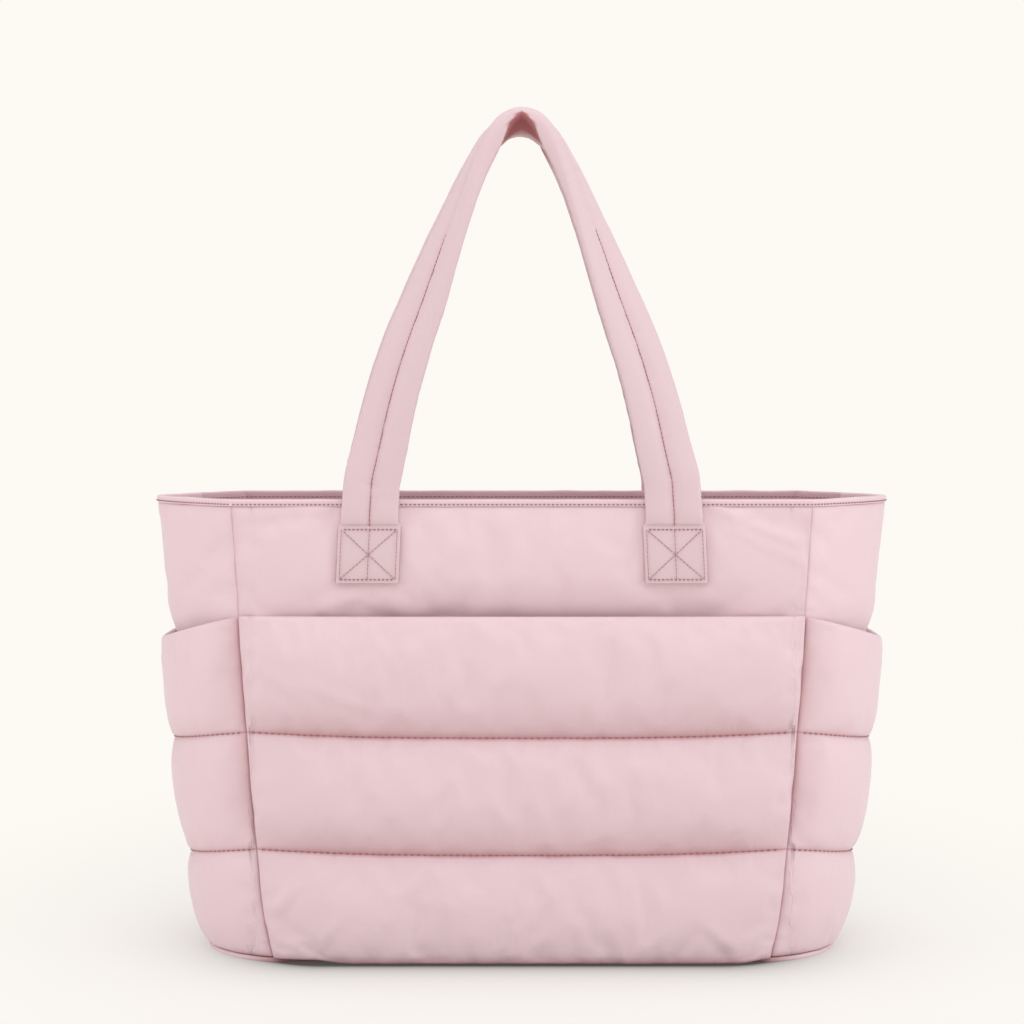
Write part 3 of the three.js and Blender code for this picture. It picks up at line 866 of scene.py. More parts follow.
def make_front_pocket():
    puff_height = sizes().front_puff / MM

    def place(u, v):
        share = signed(u)
        upper, lower = quilt_lines(share)
        lift_from = 0.86 if share > 0 else 0.7
        bottom = POCKET_BOTTOM + CORNER_RISE * ease((abs(share) - lift_from) / 0.14)
        return (share, *channel_at([bottom, lower, upper, POCKET_TOP], v))

    def outer(u, v):
        share, z, t, k = place(u, v)
        stand = PIECE_GAP + FRONT_STAND_OFF * panel_fade(share) * min(1, k + t)
        across = puff_across(t)
        if k == 0 and t < 0.5:
            across = mix(1.08, 1, across)
        puff = puff_height * across * puff_along(share, 12)
        return front_point(share, z, stand + SEAM_THICKNESS + puff)

    def inner(u, v):
        share, z, t, k = place(u, v)
        return front_point(share, z, PIECE_GAP + FRONT_STAND_OFF * panel_fade(share) * min(1, k + t))

    def pin(u, v):
        _, _, t, _ = place(u, v)
        return line_pin(u, v, t)

    def seams(u, v):
        share, z, *_ = place(u, v)
        lines = quilt_lines(share)
        level = max(near_line(z - line) for line in (0, *lines))
        # Painted shade at the pocket's mouth and where each channel rolls under towards the quilt line below
        # it
        level = max(level, near_line(z - POCKET_TOP, HEM_REACH) * HEM_SHADE)
        painted_dark = rolled_under(z, lines) * puff_along(share, 12)
        return level, near_side_seam(share), painted_dark

    rows = steps(POCKET_TOP) // 3 * 3
    piece = soft_sheet("quilted_front_pocket", steps(FRONT_POCKET_RUN), rows,
                       outer, inner, pin, seams, QUILT_PLAY)
    dress(piece, "front_pocket", colours().quilt, puckers=1.0)


def side_lines(share):
    """Heights of a side pocket's bottom, quilt lines and mouth, which dip towards the ridge."""
    dip = side_dip(share)
    quilt = [line - SIDE_DIP * dip for line in (LOWER_SEAM, UPPER_SEAM)]
    return [WALL_BOTTOM, *quilt, POCKET_TOP - MOUTH_DIP * dip]


def make_gusset(side, node):
    def outer(u, v):
        share = signed(u)
        z, into = wall_row(v)
        return gusset_point(share, z, mix(0, TONGUE_OUTER, into), side)

    def inner(u, v):
        share = signed(u)
        z, into = wall_row(v)
        depth = -mix(SEAM_THICKNESS, GUSSET_THICKNESS, panel_fade(share))
        return gusset_point(share, z, mix(depth, TONGUE_INNER, into), side)

    def pin(u, v):
        z, into = wall_row(v)
        behind_pocket = z < side_lines(signed(u))[3] - 4
        fixed = edge_pin(u, v) or into > 0 or z > SHOULDER - HELD_TOP or behind_pocket
        return 1.0 if fixed else 0.0

    def seams(u, v):
        z, _ = wall_row(v)
        return near_shoulder(z), near_line((1 - abs(signed(u))) * GUSSET_RUN), 0.0

    piece = soft_sheet(f"{node}_wall", steps(GUSSET_WIDTH), steps(WALL_RISE),
                       outer, inner, pin, seams, GUSSET_PLAY)
    dress(piece, node, colours().body, puckers=0.7)


def make_side_pocket(side, node):
    puff_height = sizes().side_puff / MM

    def place(u, v):
        share = signed(u)
        return (share, *channel_at(side_lines(share), v))

    def layers(u, v):
        share, z, t, k = place(u, v)
        space_fade = 1 - share**4
        space = mix(SIDE_SPACES[k], SIDE_SPACES[k + 1], t) * space_fade
        hem = mix(SEAM_THICKNESS, MOUTH_THICKNESS, ease(k + t - 2) * space_fade)
        return share, z, PIECE_GAP + space, hem + puff_height * puff_across(t) * puff_along(share, 5)

    def outer(u, v):
        share, z, back, thickness = layers(u, v)
        return gusset_point(share, z, back + thickness, side)

    def inner(u, v):
        share, z, back, _ = layers(u, v)
        return gusset_point(share, z, back, side)

    def pin(u, v):
        _, _, t, _ = place(u, v)
        return line_pin(u, v, t)

    def seams(u, v):
        share, z, *_ = place(u, v)
        lines = side_lines(share)
        level = max(near_line(z - line) for line in lines[:3])
        level = max(level, near_line(z - lines[3], HEM_REACH) * HEM_SHADE)
        from_seam = (1 - abs(share)) * GUSSET_RUN
        # Painted shade where each channel rolls under, and in a band beside the front seam where the pocket
        # falls back into shade
        painted_dark = 0.5 * rolled_under(z, lines[1:3], 18)
        if share < 0:
            painted_dark = max(painted_dark, 0.38 * math.exp(-from_seam / 5) * ease((z - 70) / 30))
        return level, near_line(from_seam), painted_dark

    rows = steps(SIDE_POCKET_RISE) // 3 * 3
    piece = soft_sheet(f"quilted_{node}", steps(SIDE_POCKET_RUN), rows,
                       outer, inner, pin, seams, SIDE_PLAY)
    dress(piece, node, colours().body, puckers=1.0)


# Rim and base


def round_the_bag(visit, columns, gusset_columns):
    """Once round the bag: visit(place, share, is_flat) for the front, right, back and left walls."""
    places = []
    for i in range(columns + 1):
        places.append(visit(front_point, -1 + 2 * i / columns, True))
    for i in range(1, gusset_columns):
        places.append(visit(gusset_point, -1 + 2 * i / gusset_columns, False))
    for i in range(columns + 1):
        places.append(visit(back_point, 1 - 2 * i / columns, True))
    for i in range(1, gusset_columns):
        share = 1 - 2 * i / gusset_columns
        places.append(visit(lambda s, z, o: gusset_point(s, z, o, -1), share, False))
    return places


def tube_mesh(rings, is_loop):
    """Tube through rings of points in millimetres, built from one bmesh grid bent round."""
    bm, chart, level, _ = cloth_bmesh()
    size = len(rings[0])
    count = len(rings)
    columns = count if is_loop else count - 1
    grid = grid_of(bm, columns, size)
    for vert, u, v in grid:
        i = round(u * columns)
        k = round(v * size)
        vert.co = rings[i % count][k % size] * MM
    bm.verts.index_update()
    shares = {vert.index: (u, v) for vert, u, v in grid}
    return bm, chart, level, shares


def make_rim_band():
    facing_outer = TONGUE_INNER - PIECE_GAP
    facing_inner = facing_outer - BAND_THICKNESS
    under = TONGUE_TOP + PIECE_GAP
    low = BAG_HEIGHT - BAND_STRIP
    deep = BAG_HEIGHT - FACING_HEIGHT
    # Offset from the seam outline and height, once round the folded band
    section = [
        (-0.1, low - 0.6), (0.15, low - 0.6), (0.22, low + 0.2), (0.22, low + 0.8), (0.25, low + 1.5),
        (0.4, BAG_HEIGHT - 1.2), (0.05, BAG_HEIGHT - 0.4),
        (-0.5, BAG_HEIGHT - 0.05), (-1.4, BAG_HEIGHT + 0.05), (-2.6, BAG_HEIGHT + 0.1),
        (-3.8, BAG_HEIGHT + 0.05), (-4.7, BAG_HEIGHT - 0.15), (facing_inner, BAG_HEIGHT - 0.8),
        (facing_inner - 0.1, BAG_HEIGHT - 4), (facing_inner, mix(BAG_HEIGHT, deep, 0.5)),
        (facing_inner, deep + 0.5), (facing_inner + 0.5, deep), (facing_outer - 0.1, deep + 0.1),
        (facing_outer, deep + 2), (facing_outer, mix(BAG_HEIGHT, deep, 0.4)), (facing_outer, under - 0.3),
        (facing_outer + 0.3, under), (-BAND_THICKNESS - 0.3, under), (-BAND_THICKNESS, under - 0.3),
        (-BAND_THICKNESS, low + 0.2), (-0.3, low + 0.1),
    ]

    def ring(place, share, is_flat):
        points = []
        for offset, z in section:
            point = place(share, z, offset)
            point.z += 0.3 * noise.noise(Vector((point.x * 0.05, point.y * 0.05, 3.0)))
            points.append(point)
        return points

    rings = round_the_bag(ring, 150, 60)
    bm, chart, level, shares = tube_mesh(rings, True)
    around = [0.0]
    for a, b in zip(rings, rings[1:] + rings[:1]):
        around.append(around[-1] + (b[0] - a[0]).length * MM)
    up = [0.0]
    looped = section + section[:1]
    for a, b in zip(looped, looped[1:]):
        up.append(up[-1] + math.dist(a, b) * MM)
    count, size = len(rings), len(section)
    for face in bm.faces:
        for loop in face.loops:
            u, v = shares[loop.vert.index]
            loop[chart].uv = (around[round(u * count)], up[round(v * size)])
    for vert in bm.verts:
        _, v = shares[vert.index]
        # Painted shade on the top inner edge of the back band, which faces away from the light, and a light
        # painted seam shade elsewhere
        is_back_edge = vert.co.y > 0.03 and 7 <= round(v * size) <= 13
        vert[level] = 0.96 if is_back_edge else 0.2
    bmesh.ops.remove_doubles(bm, verts=bm.verts, dist=1e-6)
    piece = new_object("bound_rim", bpy.data.meshes.new("bound_rim"))
    finish_mesh(bm, piece)
    piece.data.materials.append(material("nylon_rim_band", colours().body, 0.35))
    smoothed(piece)
    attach(piece, "root")
    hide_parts("rim_band")


def make_base():
    def outline(place, share, is_flat):
        corner = BASE_LIP * ease((abs(share) - 0.9) / 0.1)
        side = BASE_LIP - PIECE_GAP + SIDE_SPACES[0] * (1 - share**6)
        return place(share, 0, corner if is_flat else side)

    edge = round_the_bag(outline, 60, 36)
    # Shrink from the outline in millimetres and height, once over the padded plate from below
    profile = [
        (14, 0.0), (6, 0.0), (0.9, 0.0), (0.25, 0.3), (0, 0.9),
        (0, 2.1), (0.25, 2.7), (0.9, 3.0), (6, 3.0), (14, 3.0),
    ]
    bm, chart, level, _ = cloth_bmesh()
    count, last = len(edge), len(profile) - 1
    grid = grid_of(bm, count, last)
    for vert, u, v in grid:
        point = edge[round(u * count) % count]
        shrink, z = profile[round(v * last)]
        inward = Vector((-point.x, -point.y * 2.2, 0)).normalized() * shrink
        vert.co = Vector((point.x + inward.x, point.y + inward.y, z)) * MM
    bmesh.ops.remove_doubles(bm, verts=bm.verts, dist=1e-6)
    bmesh.ops.holes_fill(bm, edges=[edge for edge in bm.edges if edge.is_boundary])
    for face in bm.faces:
        for loop in face.loops:
            loop[chart].uv = loop.vert.co.xy
    hollow = bm.verts.layers.float["hollow"]
    # Painted shade on the base under the bag, fading out towards its corners, over a light painted seam shade
    for vert in bm.verts:
        vert[level] = 0.5
        vert[hollow] = 0.75 * ease((0.185 - abs(vert.co.x)) / 0.03)
    piece = new_object("padded_base", bpy.data.meshes.new("padded_base"))
    finish_mesh(bm, piece)
    dress(piece, "base_panel", colours().body, puckers=0.4)


# Handles


def strap_section(count=36):
    """Across share, lift share and groove share, once round the padded strap from its left edge."""
    rows = []
    for i in range(count):
        turn = 2 * math.pi * i / count
        across = -math.cos(turn)
        side = math.sin(turn)
        across = math.copysign(abs(across) ** 0.85, across)
        full = abs(side) ** (0.62 if side >= 0 else 0.5)
        lift = 0.5 + 0.5 * full if side >= 0 else 0.5 - 0.5 * full
        line = math.exp(-((across / 0.07) ** 2))
        groove = 0.9 * line + 0.9 * math.exp(-((across / 0.3) ** 2)) if side > 0 else 0.0
        rows.append((across, lift, groove))
    return rows


def section_lift(row, thickness, groove):
    return row[1] * thickness - row[2] * groove


def lying_ring(side, centre, z, width, thickness, groove, section):
    ring = []
    for row in section:
        x = centre - side * row[0] * width / 2
        share = x / seam_x(z)
        swell = max(0, front_swell(share, z)) if z < SHOULDER else 0
        lift = PIECE_GAP + swell + section_lift(row, thickness, groove)
        ring.append(Vector((x, -seam_y(z) - lift, z)))
    return ring


def end_rings(side, hang, section):
    spread, shift = side * hang[0], hang[1]
    rings = []
    for share in (0, 0.015, 0.33, 0.67, 0.985, 1):
        z = mix(TAB_TOP - TAB_HEIGHT, TAB_TOP, share)
        centre = spread * mix(1, TAB_TOP_SPREAD, share) + shift
        rings.append(lying_ring(side, centre, z, TAB_WIDTH, TAB_THICKNESS, TAB_GROOVE, section))
    centre = spread * TAB_TOP_SPREAD + shift
    for share, full in ((0.25, 0.5), (1, 1)):
        width = mix(TAB_WIDTH, STRAP_WIDTH, ease(share * 3))
        thickness = mix(TAB_THICKNESS, STRAP_THICKNESS, full)
        groove = mix(TAB_GROOVE, STRAP_GROOVE, full)
        z = TAB_TOP + TAB_BLEND * share
        rings.append(lying_ring(side, centre, z, width, thickness, groove, section))
    centre = spread * RIM_SPREAD + shift
    rings.append(lying_ring(
        side, centre, BAG_HEIGHT, STRAP_WIDTH, STRAP_THICKNESS, STRAP_GROOVE, section))
    return rings


def spline(points, at, centripetal):
    """Point and slope at a share of an open Catmull-Rom curve."""
    last = len(points) - 1
    i = min(last - 1, int(at * last))
    w = at * last - i
    p1, p2 = points[i], points[i + 1]
    p0 = points[i - 1] if i > 0 else p1 * 2 - p2
    p3 = points[i + 2] if i + 2 <= last else p2 * 2 - p1
    if centripetal:
        d0, d1, d2 = (math.sqrt((b - a).length) or 1.0 for a, b in ((p0, p1), (p1, p2), (p2, p3)))
        t1 = ((p1 - p0) / d0 - (p2 - p0) / (d0 + d1) + (p2 - p1) / d1) * d1
        t2 = ((p2 - p1) / d1 - (p3 - p1) / (d1 + d2) + (p3 - p2) / d2) * d1
    else:
        t1, t2 = (p2 - p0) / 2, (p3 - p1) / 2
    c2 = (p2 - p1) * 3 - t1 * 2 - t2
    c3 = (p1 - p2) * 2 + t1 + t2
    return p1 + t1 * w + c2 * w * w + c3 * w**3, t1 + c2 * 2 * w + c3 * 3 * w * w


def free_rings(hang, count, section):
    foot = seam_y(BAG_HEIGHT) + PIECE_GAP + STRAP_THICKNESS / 2
    rise = HANDLE_TOP - BAG_HEIGHT
    places, folds = [], []
    for side in (-1, 1):
        for up, spread, *fold in STRAP_ROWS if side < 0 else STRAP_ROWS[-2::-1]:
            x = side * spread * hang[0] + hang[1]
            places.append(Vector((x, -mix(foot, HANDLE_DEPTH, up), BAG_HEIGHT + up * rise)))
            folds.append(Vector(fold))
    lean = math.atan2(foot - HANDLE_DEPTH, rise)
    out_of_loop = Vector((0, -math.cos(lean), math.sin(lean)))
    rings = []
    for i in range(count + 1):
        at = i / count
        centre, tangent = spline(places, at, True)
        tangent.normalize()
        outwards = out_of_loop.cross(tangent).normalized()
        turn, width, thickness = spline(folds, at, False)[0]
        turn = math.radians(turn)
        width *= STRAP_WIDTH
        thickness *= STRAP_THICKNESS
        face = out_of_loop * math.cos(turn) + outwards * math.sin(turn)
        across = tangent.cross(face).normalized()
        rings.append([
            centre + across * row[0] * width / 2
            + face * (section_lift(row, thickness, STRAP_GROOVE) - thickness / 2)
            for row in section])
    return rings


def strap_rings(hang, section, fine=6):
    """Key rings of the whole strap, refined along its length."""
    left, right = end_rings(-1, hang, section), end_rings(1, hang, section)
    keys = left + free_rings(hang, 36, section) + right[::-1]
    count = len(keys) - 1
    rings = []
    for i in range(count * fine + 1):
        # A short window of keys around this ring is all that the spline needs
        first = max(0, i // fine - 2)
        last = min(count, i // fine + 3)
        at = (i / fine - first) / (last - first)
        window = keys[first:last + 1]
        rings.append([
            spline([key[k] for key in window], at, True)[0] for k in range(len(section))])
    return rings


def centre_rows(section):
    """Numbers of the section's points in the middle of its outer and of its inner face."""
    def nearest(is_outer):
        rows = [k for k, row in enumerate(section) if (row[1] > 0.5) == is_outer]
        return min(rows, key=lambda k: abs(section[k][0]))

    return nearest(True), nearest(False)


def mouth(from_apex, across, lift):
    """How deep a point of the strap lies in the fold under the apex, as a share of the thickness."""
    limit = MOUTH_LIFT * math.exp(-from_apex / MOUTH_FADE) * ease((MOUTH_REACH - from_apex) / 12)
    return max(0.0, limit - lift) * ease((across + 0.5) / 0.6)


def make_handle(node, hang, mirror):
    section = strap_section()
    top, bottom = centre_rows(section)
    rings = strap_rings(hang, section)
    size = len(section)
    count = len(rings)
    centres = [sum(ring, Vector()) / size for ring in rings]
    run = [0.0]
    for a, b in zip(centres, centres[1:]):
        run.append(run[-1] + (b - a).length)
    tab_run = TAB_HEIGHT + 2
    for i, ring in enumerate(rings):
        from_end = min(run[i], run[-1] - run[i])
        soft = ease((from_end - tab_run) / 12)
        from_apex = abs(run[i] - run[-1] / 2)
        up = ring[top] - ring[bottom]
        for k, (across, lift, _) in enumerate(section):
            out = (ring[k] - centres[i]).normalized()
            gather = noise.noise(Vector((run[i] * 0.16, across * 0.9, 7.0 if lift > 0.5 else 11.0)))
            slack = noise.noise(Vector((run[i] * 0.045, across * 1.2, 17.0)))
            near = math.exp(-((across / 0.35) ** 2)) if lift > 0.5 else 0.2
            ring[k] = ring[k] + out * soft * (0.55 * gather * (0.35 + near) + 0.35 * slack)
            ring[k] += up * mouth(from_apex, across, lift) * 0.8
    if mirror < 0:
        for ring in rings:
            for point in ring:
                point.y = -point.y
    bm, chart, level, shares = tube_mesh(rings, False)
    half = STRAP_WIDTH / 2
    for face in bm.faces:
        for loop in face.loops:
            u, v = shares[loop.vert.index]
            i, k = round(u * (count - 1)), round(v * size)
            loop[chart].uv = (run[i] * MM, k / size * 2.2 * half * MM)
    hollow = bm.verts.layers.float["hollow"]
    for vert in bm.verts:
        u, v = shares[vert.index]
        i, k = round(u * (count - 1)), round(v * size) % size
        across, lift, _ = section[k]
        from_apex = abs(run[i] - run[-1] / 2)
        # Painted shade in the groove of the strap's centre line, fading in away from the folded apex
        seam = ease((from_apex - 60) / 40)
        vert[level] = clamp(1 - abs(across) * 1.9) * seam if lift > 0.5 else 0.0
        if min(run[i], run[-1] - run[i]) < TAB_HEIGHT:
            # Painted shade round the edges and ends of each tab
            vert[level] = 1.0 if abs(across) > 0.985 or i in (0, count - 1) else 0.3 * vert[level]
        # Painted shade inside the fold under the apex
        vert[hollow] = 0.95 * ease(mouth(from_apex, across, lift) / 0.14)
    bmesh.ops.remove_doubles(bm, verts=bm.verts, dist=1e-6)
    bmesh.ops.holes_fill(bm, edges=[edge for edge in bm.edges if edge.is_boundary])
    piece = new_object(f"{node.replace('_handle', '')}_strap", bpy.data.meshes.new(node))
    finish_mesh(bm, piece)
    dress(piece, node, colours().strap, puckers=0.8)


# Stitches


def add_stitch(bm, start, end, out, radius):
    """One arched capsule of thread from start to end, points in millimetres."""
    along_it = end - start
    side = along_it.cross(out).normalized()
    rings = []
    for share, thick, lift in STITCH_ARCH:
        centre = start + along_it * share + out * radius * lift
        ring = []
        for k in range(THREAD_SIDES):
            turn = 2 * math.pi * k / THREAD_SIDES
            offset = (side * math.cos(turn) + out * math.sin(turn)) * radius * thick
            ring.append(bm.verts.new((centre + offset) * MM))
        rings.append(ring)
    for low, high in zip(rings, rings[1:]):
        for k in range(THREAD_SIDES):
            after = (k + 1) % THREAD_SIDES
            bm.faces.new((low[k], low[after], high[after], high[k]))
    bm.faces.new(rings[0][::-1])
    bm.faces.new(rings[-1])


def sew(bm, path, out_at, pitch=None, radius=None, bare=0.14):
    """Row of stitches along a polyline; out_at(point) gives the cloth's outward direction."""
    pitch = pitch or sizes().stitch_pitch / MM
    radius = radius or sizes().thread_radius / MM
    lengths = [0.0]
    for a, b in zip(path, path[1:]):
        lengths.append(lengths[-1] + (b - a).length)

    def at(run):
        i = 0
        while i < len(lengths) - 2 and lengths[i + 1] < run:
            i += 1
        span = lengths[i + 1] - lengths[i]
        return path[i].lerp(path[i + 1], clamp((run - lengths[i]) / span) if span else 0.0)

    count = int(lengths[-1] / pitch)
    for i in range(count):
        start, end = at((i + bare) * pitch), at((i + 1 - bare) * pitch)
        if (end - start).length > SHORTEST_STITCH:
            add_stitch(bm, start, end, out_at(start), radius)


def thread_piece(name, sewing):
    bm = bmesh.new()
    sewing(bm)
    piece = new_object(name, bpy.data.meshes.new(name))
    finish_mesh(bm, piece)
    piece.data.materials.append(material("thread"))
    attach(piece, "root")


def shares_between(count, low=-0.985, high=0.985):
    return [mix(low, high, i / count) for i in range(count + 1)]


def sew_front(bm):
    for pick in (0, 1):
        path = []
        for share in shares_between(80):
            z = quilt_lines(share)[pick]
            stand = PIECE_GAP + FRONT_STAND_OFF * panel_fade(share)
            path.append(front_point(share, z, stand + SEAM_THICKNESS + 1))
        sew(bm, path, lambda p: Vector((0, -1, 0)), *QUILT_STITCH)


def sew_back(bm):
    for pick in (0, 1, 2):
        path = []
        for share in shares_between(80, -0.96, 0.96):
            z = (*quilt_lines(share), POCKET_TOP)[pick]
            stand = mix(BASE_LIP - PIECE_GAP, BACK_STAND_OFF, panel_fade(share))
            if pick == 2:
                stand = front_swell(share, z)
            path.append(back_point(share, z, stand + 0.75))
        sew(bm, path, lambda p: Vector((0, 1, 0)))


def sew_sides(bm):
    for side in (-1, 1):
        for k in (1, 2):
            path = []
            for share in shares_between(50, -0.97, 0.97):
                z = side_lines(share)[k]
                stand = PIECE_GAP + SIDE_SPACES[k] * (1 - share**4)
                path.append(gusset_point(share, z, stand + SEAM_THICKNESS + 0.9, side))
            sew(bm, path, outward, *QUILT_STITCH)


def sew_rim(bm):
    def row_at(z, offset):
        return round_the_bag(lambda place, share, is_flat: place(share, z, offset), 120, 50)

    low = BAG_HEIGHT - BAND_STRIP
    path = row_at(low + 0.8, 0.5)
    sew(bm, path + path[:1], outward, *RIM_STITCH)
    inside = row_at(low, TONGUE_INNER - PIECE_GAP - BAND_THICKNESS - 0.2)
    sew(bm, inside + inside[:1], lambda p: -outward(p), 3.0)


def sew_handles(bm):
    section = strap_section()
    near, far = centre_rows(section)
    for hang, mirror in ((FRONT_HANG, 1), (BACK_HANG, -1)):
        rings = strap_rings(hang, section)
        flip = Matrix.Diagonal((1, mirror, 1))
        # The line of stitches leaves out the folded apex
        half = len(rings) // 2
        gap = round(half * FOLDED_SHARE)
        for part in (rings[:half - gap], rings[half + gap:]):
            part = [ring for ring in part if ring[near].z > TAB_TOP - 1]
            outs = [flip @ (ring[near] - ring[far]).normalized() for ring in part]
            path = [flip @ ring[near] + out * 0.2 for ring, out in zip(part, outs)]

            def out_at(point):
                nearest = min(range(len(path)), key=lambda k: (path[k] - point).length_squared)
                return outs[nearest]

            sew(bm, path, out_at, *STRAP_STITCH)
        for side in (-1, 1):
            sew_tab(bm, side, hang, flip)


def sew_tab(bm, side, hang, flip):
    """Square of stitches with a cross and an upright line in it, on one end tab."""
    inset = 2.4
    half = TAB_WIDTH / 2 - inset
    low, high = TAB_TOP - TAB_HEIGHT + inset, TAB_TOP - inset

    def spot(across, z):
        share_up = (z - TAB_TOP + TAB_HEIGHT) / TAB_HEIGHT
        x = side * hang[0] * mix(1, TAB_TOP_SPREAD, share_up) + hang[1] + across
        share = x / seam_x(z)
        lift = PIECE_GAP + max(0, front_swell(share, z)) + TAB_THICKNESS + 0.12
        return flip @ Vector((x, -seam_y(z) - lift, z))

    corners = [(-half, low), (half, low), (half, high), (-half, high)]
    lines = list(zip(corners, corners[1:] + corners[:1]))
    lines += [(corners[0], corners[2]), (corners[1], corners[3]), ((0, low), (0.01, high))]
    for (x0, z0), (x1, z1) in lines:
        path = [spot(mix(x0, x1, i / 14), mix(z0, z1, i / 14)) for i in range(15)]
        radius, bare = (0.4, 0.2) if z0 == z1 else (0.18, 0.05)
        sew(bm, path, lambda p: flip @ Vector((0, -1, 0)), TAB_PITCH, radius, bare)


# Stage


def footprint_distance(n, place):
    """Distance from the bag's rounded footprint on the floor, 0 inside it."""
    inner = (FOOT_HALF[0] - FOOT_CORNER, FOOT_HALF[1] - FOOT_CORNER, 0)
    out = n.vector("ABSOLUTE", n.vector("ADD", place, (0, FOOT_SHIFT, 0)))
    out = n.vector("MAXIMUM", n.vector("SUBTRACT", out, inner), (0, 0, 0))
    return n.math("MAXIMUM", n.math("SUBTRACT", n.vector("LENGTH", out), FOOT_CORNER), 0.0)


def floor_material():
    """Pale floor with a contact shade around the bag and a fade to the background."""
    tint = colours()
    made = bpy.data.materials.new("floor")
    made.use_nodes = True
    tree = made.node_tree
    n = Nodes(tree)
    shader = tree.nodes["Principled BSDF"]
    place = n.add("ShaderNodeTexCoord").outputs["Object"]
    speck = n.noise(place, 40.0, 2.0)
    n.put(shader, "Roughness", n.math("MULTIPLY_ADD", speck, 0.1, 0.75))
    n.put(shader, "Specular IOR Level", 0.1)
    # Painted contact shadow: the floor darkens near the bag's footprint, in its lit part and in the part that
    # glows like the background
    away = footprint_distance(n, place)
    tight = n.math("MULTIPLY", n.math("EXPONENT", n.math("MULTIPLY", away, -220.0)), 0.36)
    wide = n.math("MULTIPLY", n.math("EXPONENT", n.math("MULTIPLY", away, -38.0)), 0.52)
    contact = n.math("ADD", tight, wide)
    n.put(shader, "Base Color", n.blend(contact, (*tint.floor, 1), CONTACT_SHADOW_TINT))
    far = n.vector("LENGTH", n.vector("MULTIPLY", place, (1.7, 1, 1)))
    fade = n.add("ShaderNodeMapRange", {"interpolation_type": "SMOOTHSTEP"}, Value=far)
    for key, value in {"From Min": 0.1, "From Max": 0.95, "To Min": 0.45}.items():
        n.put(fade, key, value)
    glow_tint = n.blend(contact, (*tint.backdrop, 1), CONTACT_SHADOW_TINT)
    glow = n.add("ShaderNodeEmission", Color=glow_tint, Strength=1.0)
    both = n.add("ShaderNodeMixShader", i0=fade.outputs[0], i1=shader.outputs[0], i2=glow.outputs[0])
    n.put(tree.nodes["Material Output"], "Surface", both.outputs[0])
    return made


def make_floor():
    bm = bmesh.new()
    bmesh.ops.create_circle(bm, cap_ends=True, segments=96, radius=9)
    floor = new_object("floor", bpy.data.meshes.new("floor"))
    finish_mesh(bm, floor, False)
    floor.data.materials.append(floor_material())


def make_world():
    """The camera sees the background's colour, and the bag is lit by a weaker, near white sky."""
    world = bpy.data.worlds.new("studio")
    bpy.context.scene.world = world
    world.use_nodes = True
    world.node_tree.nodes.clear()
    n = Nodes(world.node_tree)
    seen = n.add("ShaderNodeBackground", Color=(*colours().backdrop, 1), Strength=1.0)
    lit = n.add("ShaderNodeBackground", Color=(1.0, 0.985, 0.97, 1), Strength=0.52)
    ray = n.add("ShaderNodeLightPath").outputs["Is Camera Ray"]
    pick = n.add("ShaderNodeMixShader", i0=ray, i1=lit.outputs[0], i2=seen.outputs[0])
    n.add("ShaderNodeOutputWorld", Surface=pick.outputs[0])


def make_lights():
    for name, place, power, width, height, tint in LIGHTS:
        light = bpy.data.lights.new(name, "AREA")
        light.shape = "RECTANGLE"
        light.size, light.size_y = width, height
        light.energy = power
        light.color = tint
        lamp = new_object(name, light)
        lamp.location = place
        aim = Vector(LIGHT_TARGET) - lamp.location
        lamp.rotation_euler = aim.to_track_quat("-Z", "Y").to_euler()


def make_camera():
    scene = bpy.context.scene
    camera = new_object("camera", bpy.data.cameras.new("camera"))
    camera.data.sensor_width = SENSOR_WIDTH
    camera.data.lens = FOCAL_PIXELS / PHOTO_PIXELS * SENSOR_WIDTH
    camera.location = CAMERA_PLACE
    camera.rotation_euler = (math.radians(90 - CAMERA_TILT), 0, 0)
    scene.camera = camera
    scene.view_settings.view_transform = "Standard"
    scene.view_settings.look = "None"


def make_stage():
    make_floor()
    make_world()
    make_lights()
    make_camera()


# Operators


class BuildOperator:
    """Shared part of the operators: each runs its build functions and finishes."""

    bl_options = {"REGISTER", "UNDO"}

    def execute(self, context):
        self.build()
        return {"FINISHED"}


class TOTE_OT_front_panel(BuildOperator, bpy.types.Operator):
    """Build the plain padded front wall"""
    bl_idname = "tote.front_panel"
    bl_label = "Front wall"

    def build(self):
        make_front_panel()


class TOTE_OT_back_panel(BuildOperator, bpy.types.Operator):
    """Build the quilted back wall"""
    bl_idname = "tote.back_panel"
    bl_label = "Back wall"

    def build(self):
        make_back_panel()


class TOTE_OT_gussets(BuildOperator, bpy.types.Operator):
    """Build the two bowed gussets"""
    bl_idname = "tote.gussets"
    bl_label = "Gussets"

    def build(self):
        make_gusset(-1, "left_gusset")
        make_gusset(1, "right_gusset")


class TOTE_OT_front_pocket(BuildOperator, bpy.types.Operator):
    """Build the quilted front pocket"""
    bl_idname = "tote.front_pocket"
    bl_label = "Front pocket"

    def build(self):
        make_front_pocket()


class TOTE_OT_side_pockets(BuildOperator, bpy.types.Operator):
    """Build the two quilted side pockets"""
    bl_idname = "tote.side_pockets"
    bl_label = "Side pockets"

    def build(self):
        make_side_pocket(-1, "left_side_pocket")
        make_side_pocket(1, "right_side_pocket")


class TOTE_OT_rim(BuildOperator, bpy.types.Operator):
    """Build the folded band that binds the rim"""
    bl_idname = "tote.rim"
    bl_label = "Rim band"

    def build(self):
        make_rim_band()


class TOTE_OT_base(BuildOperator, bpy.types.Operator):
    """Build the padded base"""
    bl_idname = "tote.base"
    bl_label = "Base"

    def build(self):
        make_base()


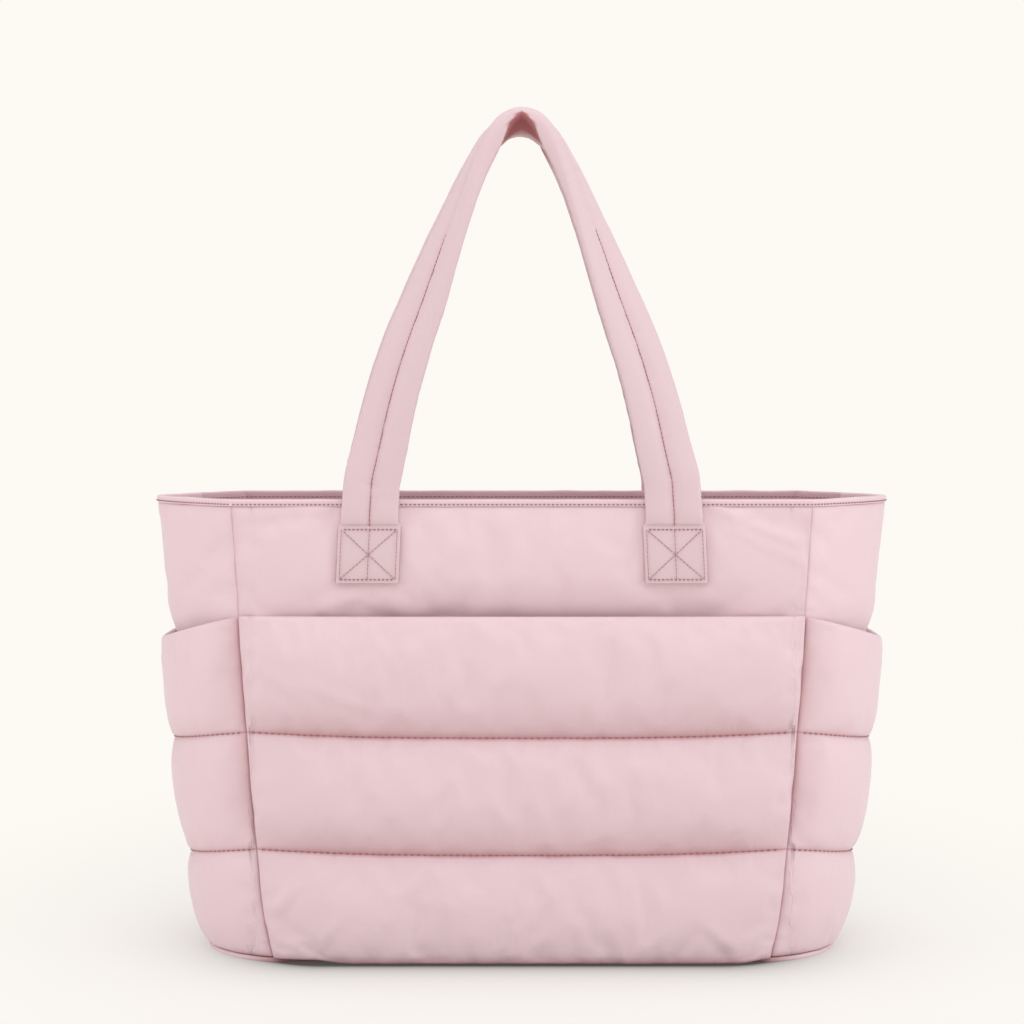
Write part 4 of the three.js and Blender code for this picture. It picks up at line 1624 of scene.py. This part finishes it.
class TOTE_OT_handles(BuildOperator, bpy.types.Operator):
    """Build the two padded handles with their end tabs"""
    bl_idname = "tote.handles"
    bl_label = "Handles"

    def build(self):
        make_handle("front_handle", FRONT_HANG, 1)
        make_handle("back_handle", BACK_HANG, -1)


class TOTE_OT_stitches(BuildOperator, bpy.types.Operator):
    """Sew the quilt lines, the rim and the handles"""
    bl_idname = "tote.stitches"
    bl_label = "Stitches"

    def build(self):
        thread_piece("front_stitches", sew_front)
        thread_piece("back_stitches", sew_back)
        thread_piece("side_stitches", sew_sides)
        thread_piece("rim_stitches", sew_rim)
        thread_piece("handle_stitches", sew_handles)


class TOTE_OT_stage(BuildOperator, bpy.types.Operator):
    """Set the floor, the lights and the camera"""
    bl_idname = "tote.stage"
    bl_label = "Stage"

    def build(self):
        make_stage()


OPERATORS = (
    TOTE_OT_stage, TOTE_OT_base, TOTE_OT_front_panel, TOTE_OT_back_panel, TOTE_OT_gussets,
    TOTE_OT_rim, TOTE_OT_front_pocket, TOTE_OT_side_pockets, TOTE_OT_handles, TOTE_OT_stitches,
)


class TOTE_PT_panel(bpy.types.Panel):
    """Sidebar panel with the bag's sizes, colours and steps"""
    bl_idname = "TOTE_PT_panel"
    bl_label = "Puffer tote bag"
    bl_space_type = "VIEW_3D"
    bl_region_type = "UI"
    bl_category = "Tote"

    def draw(self, context):
        for group in (context.scene.tote_sizes, context.scene.tote_colours):
            box = self.layout.box()
            for name in group.__annotations__:
                box.prop(group, name)
        for operator in OPERATORS:
            self.layout.operator(operator.bl_idname)


CLASSES = (ToteSizes, ToteColours, *OPERATORS, TOTE_PT_panel)


def register():
    for cls in CLASSES:
        bpy.utils.register_class(cls)
    bpy.types.Scene.tote_sizes = PointerProperty(type=ToteSizes)
    bpy.types.Scene.tote_colours = PointerProperty(type=ToteColours)


def unregister():
    del bpy.types.Scene.tote_colours
    del bpy.types.Scene.tote_sizes
    for cls in reversed(CLASSES):
        bpy.utils.unregister_class(cls)


def main():
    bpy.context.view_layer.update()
    register()
    for operator in OPERATORS:
        space, name = operator.bl_idname.split(".")
        getattr(getattr(bpy.ops, space), name)()


if __name__ == "__main__":
    main()
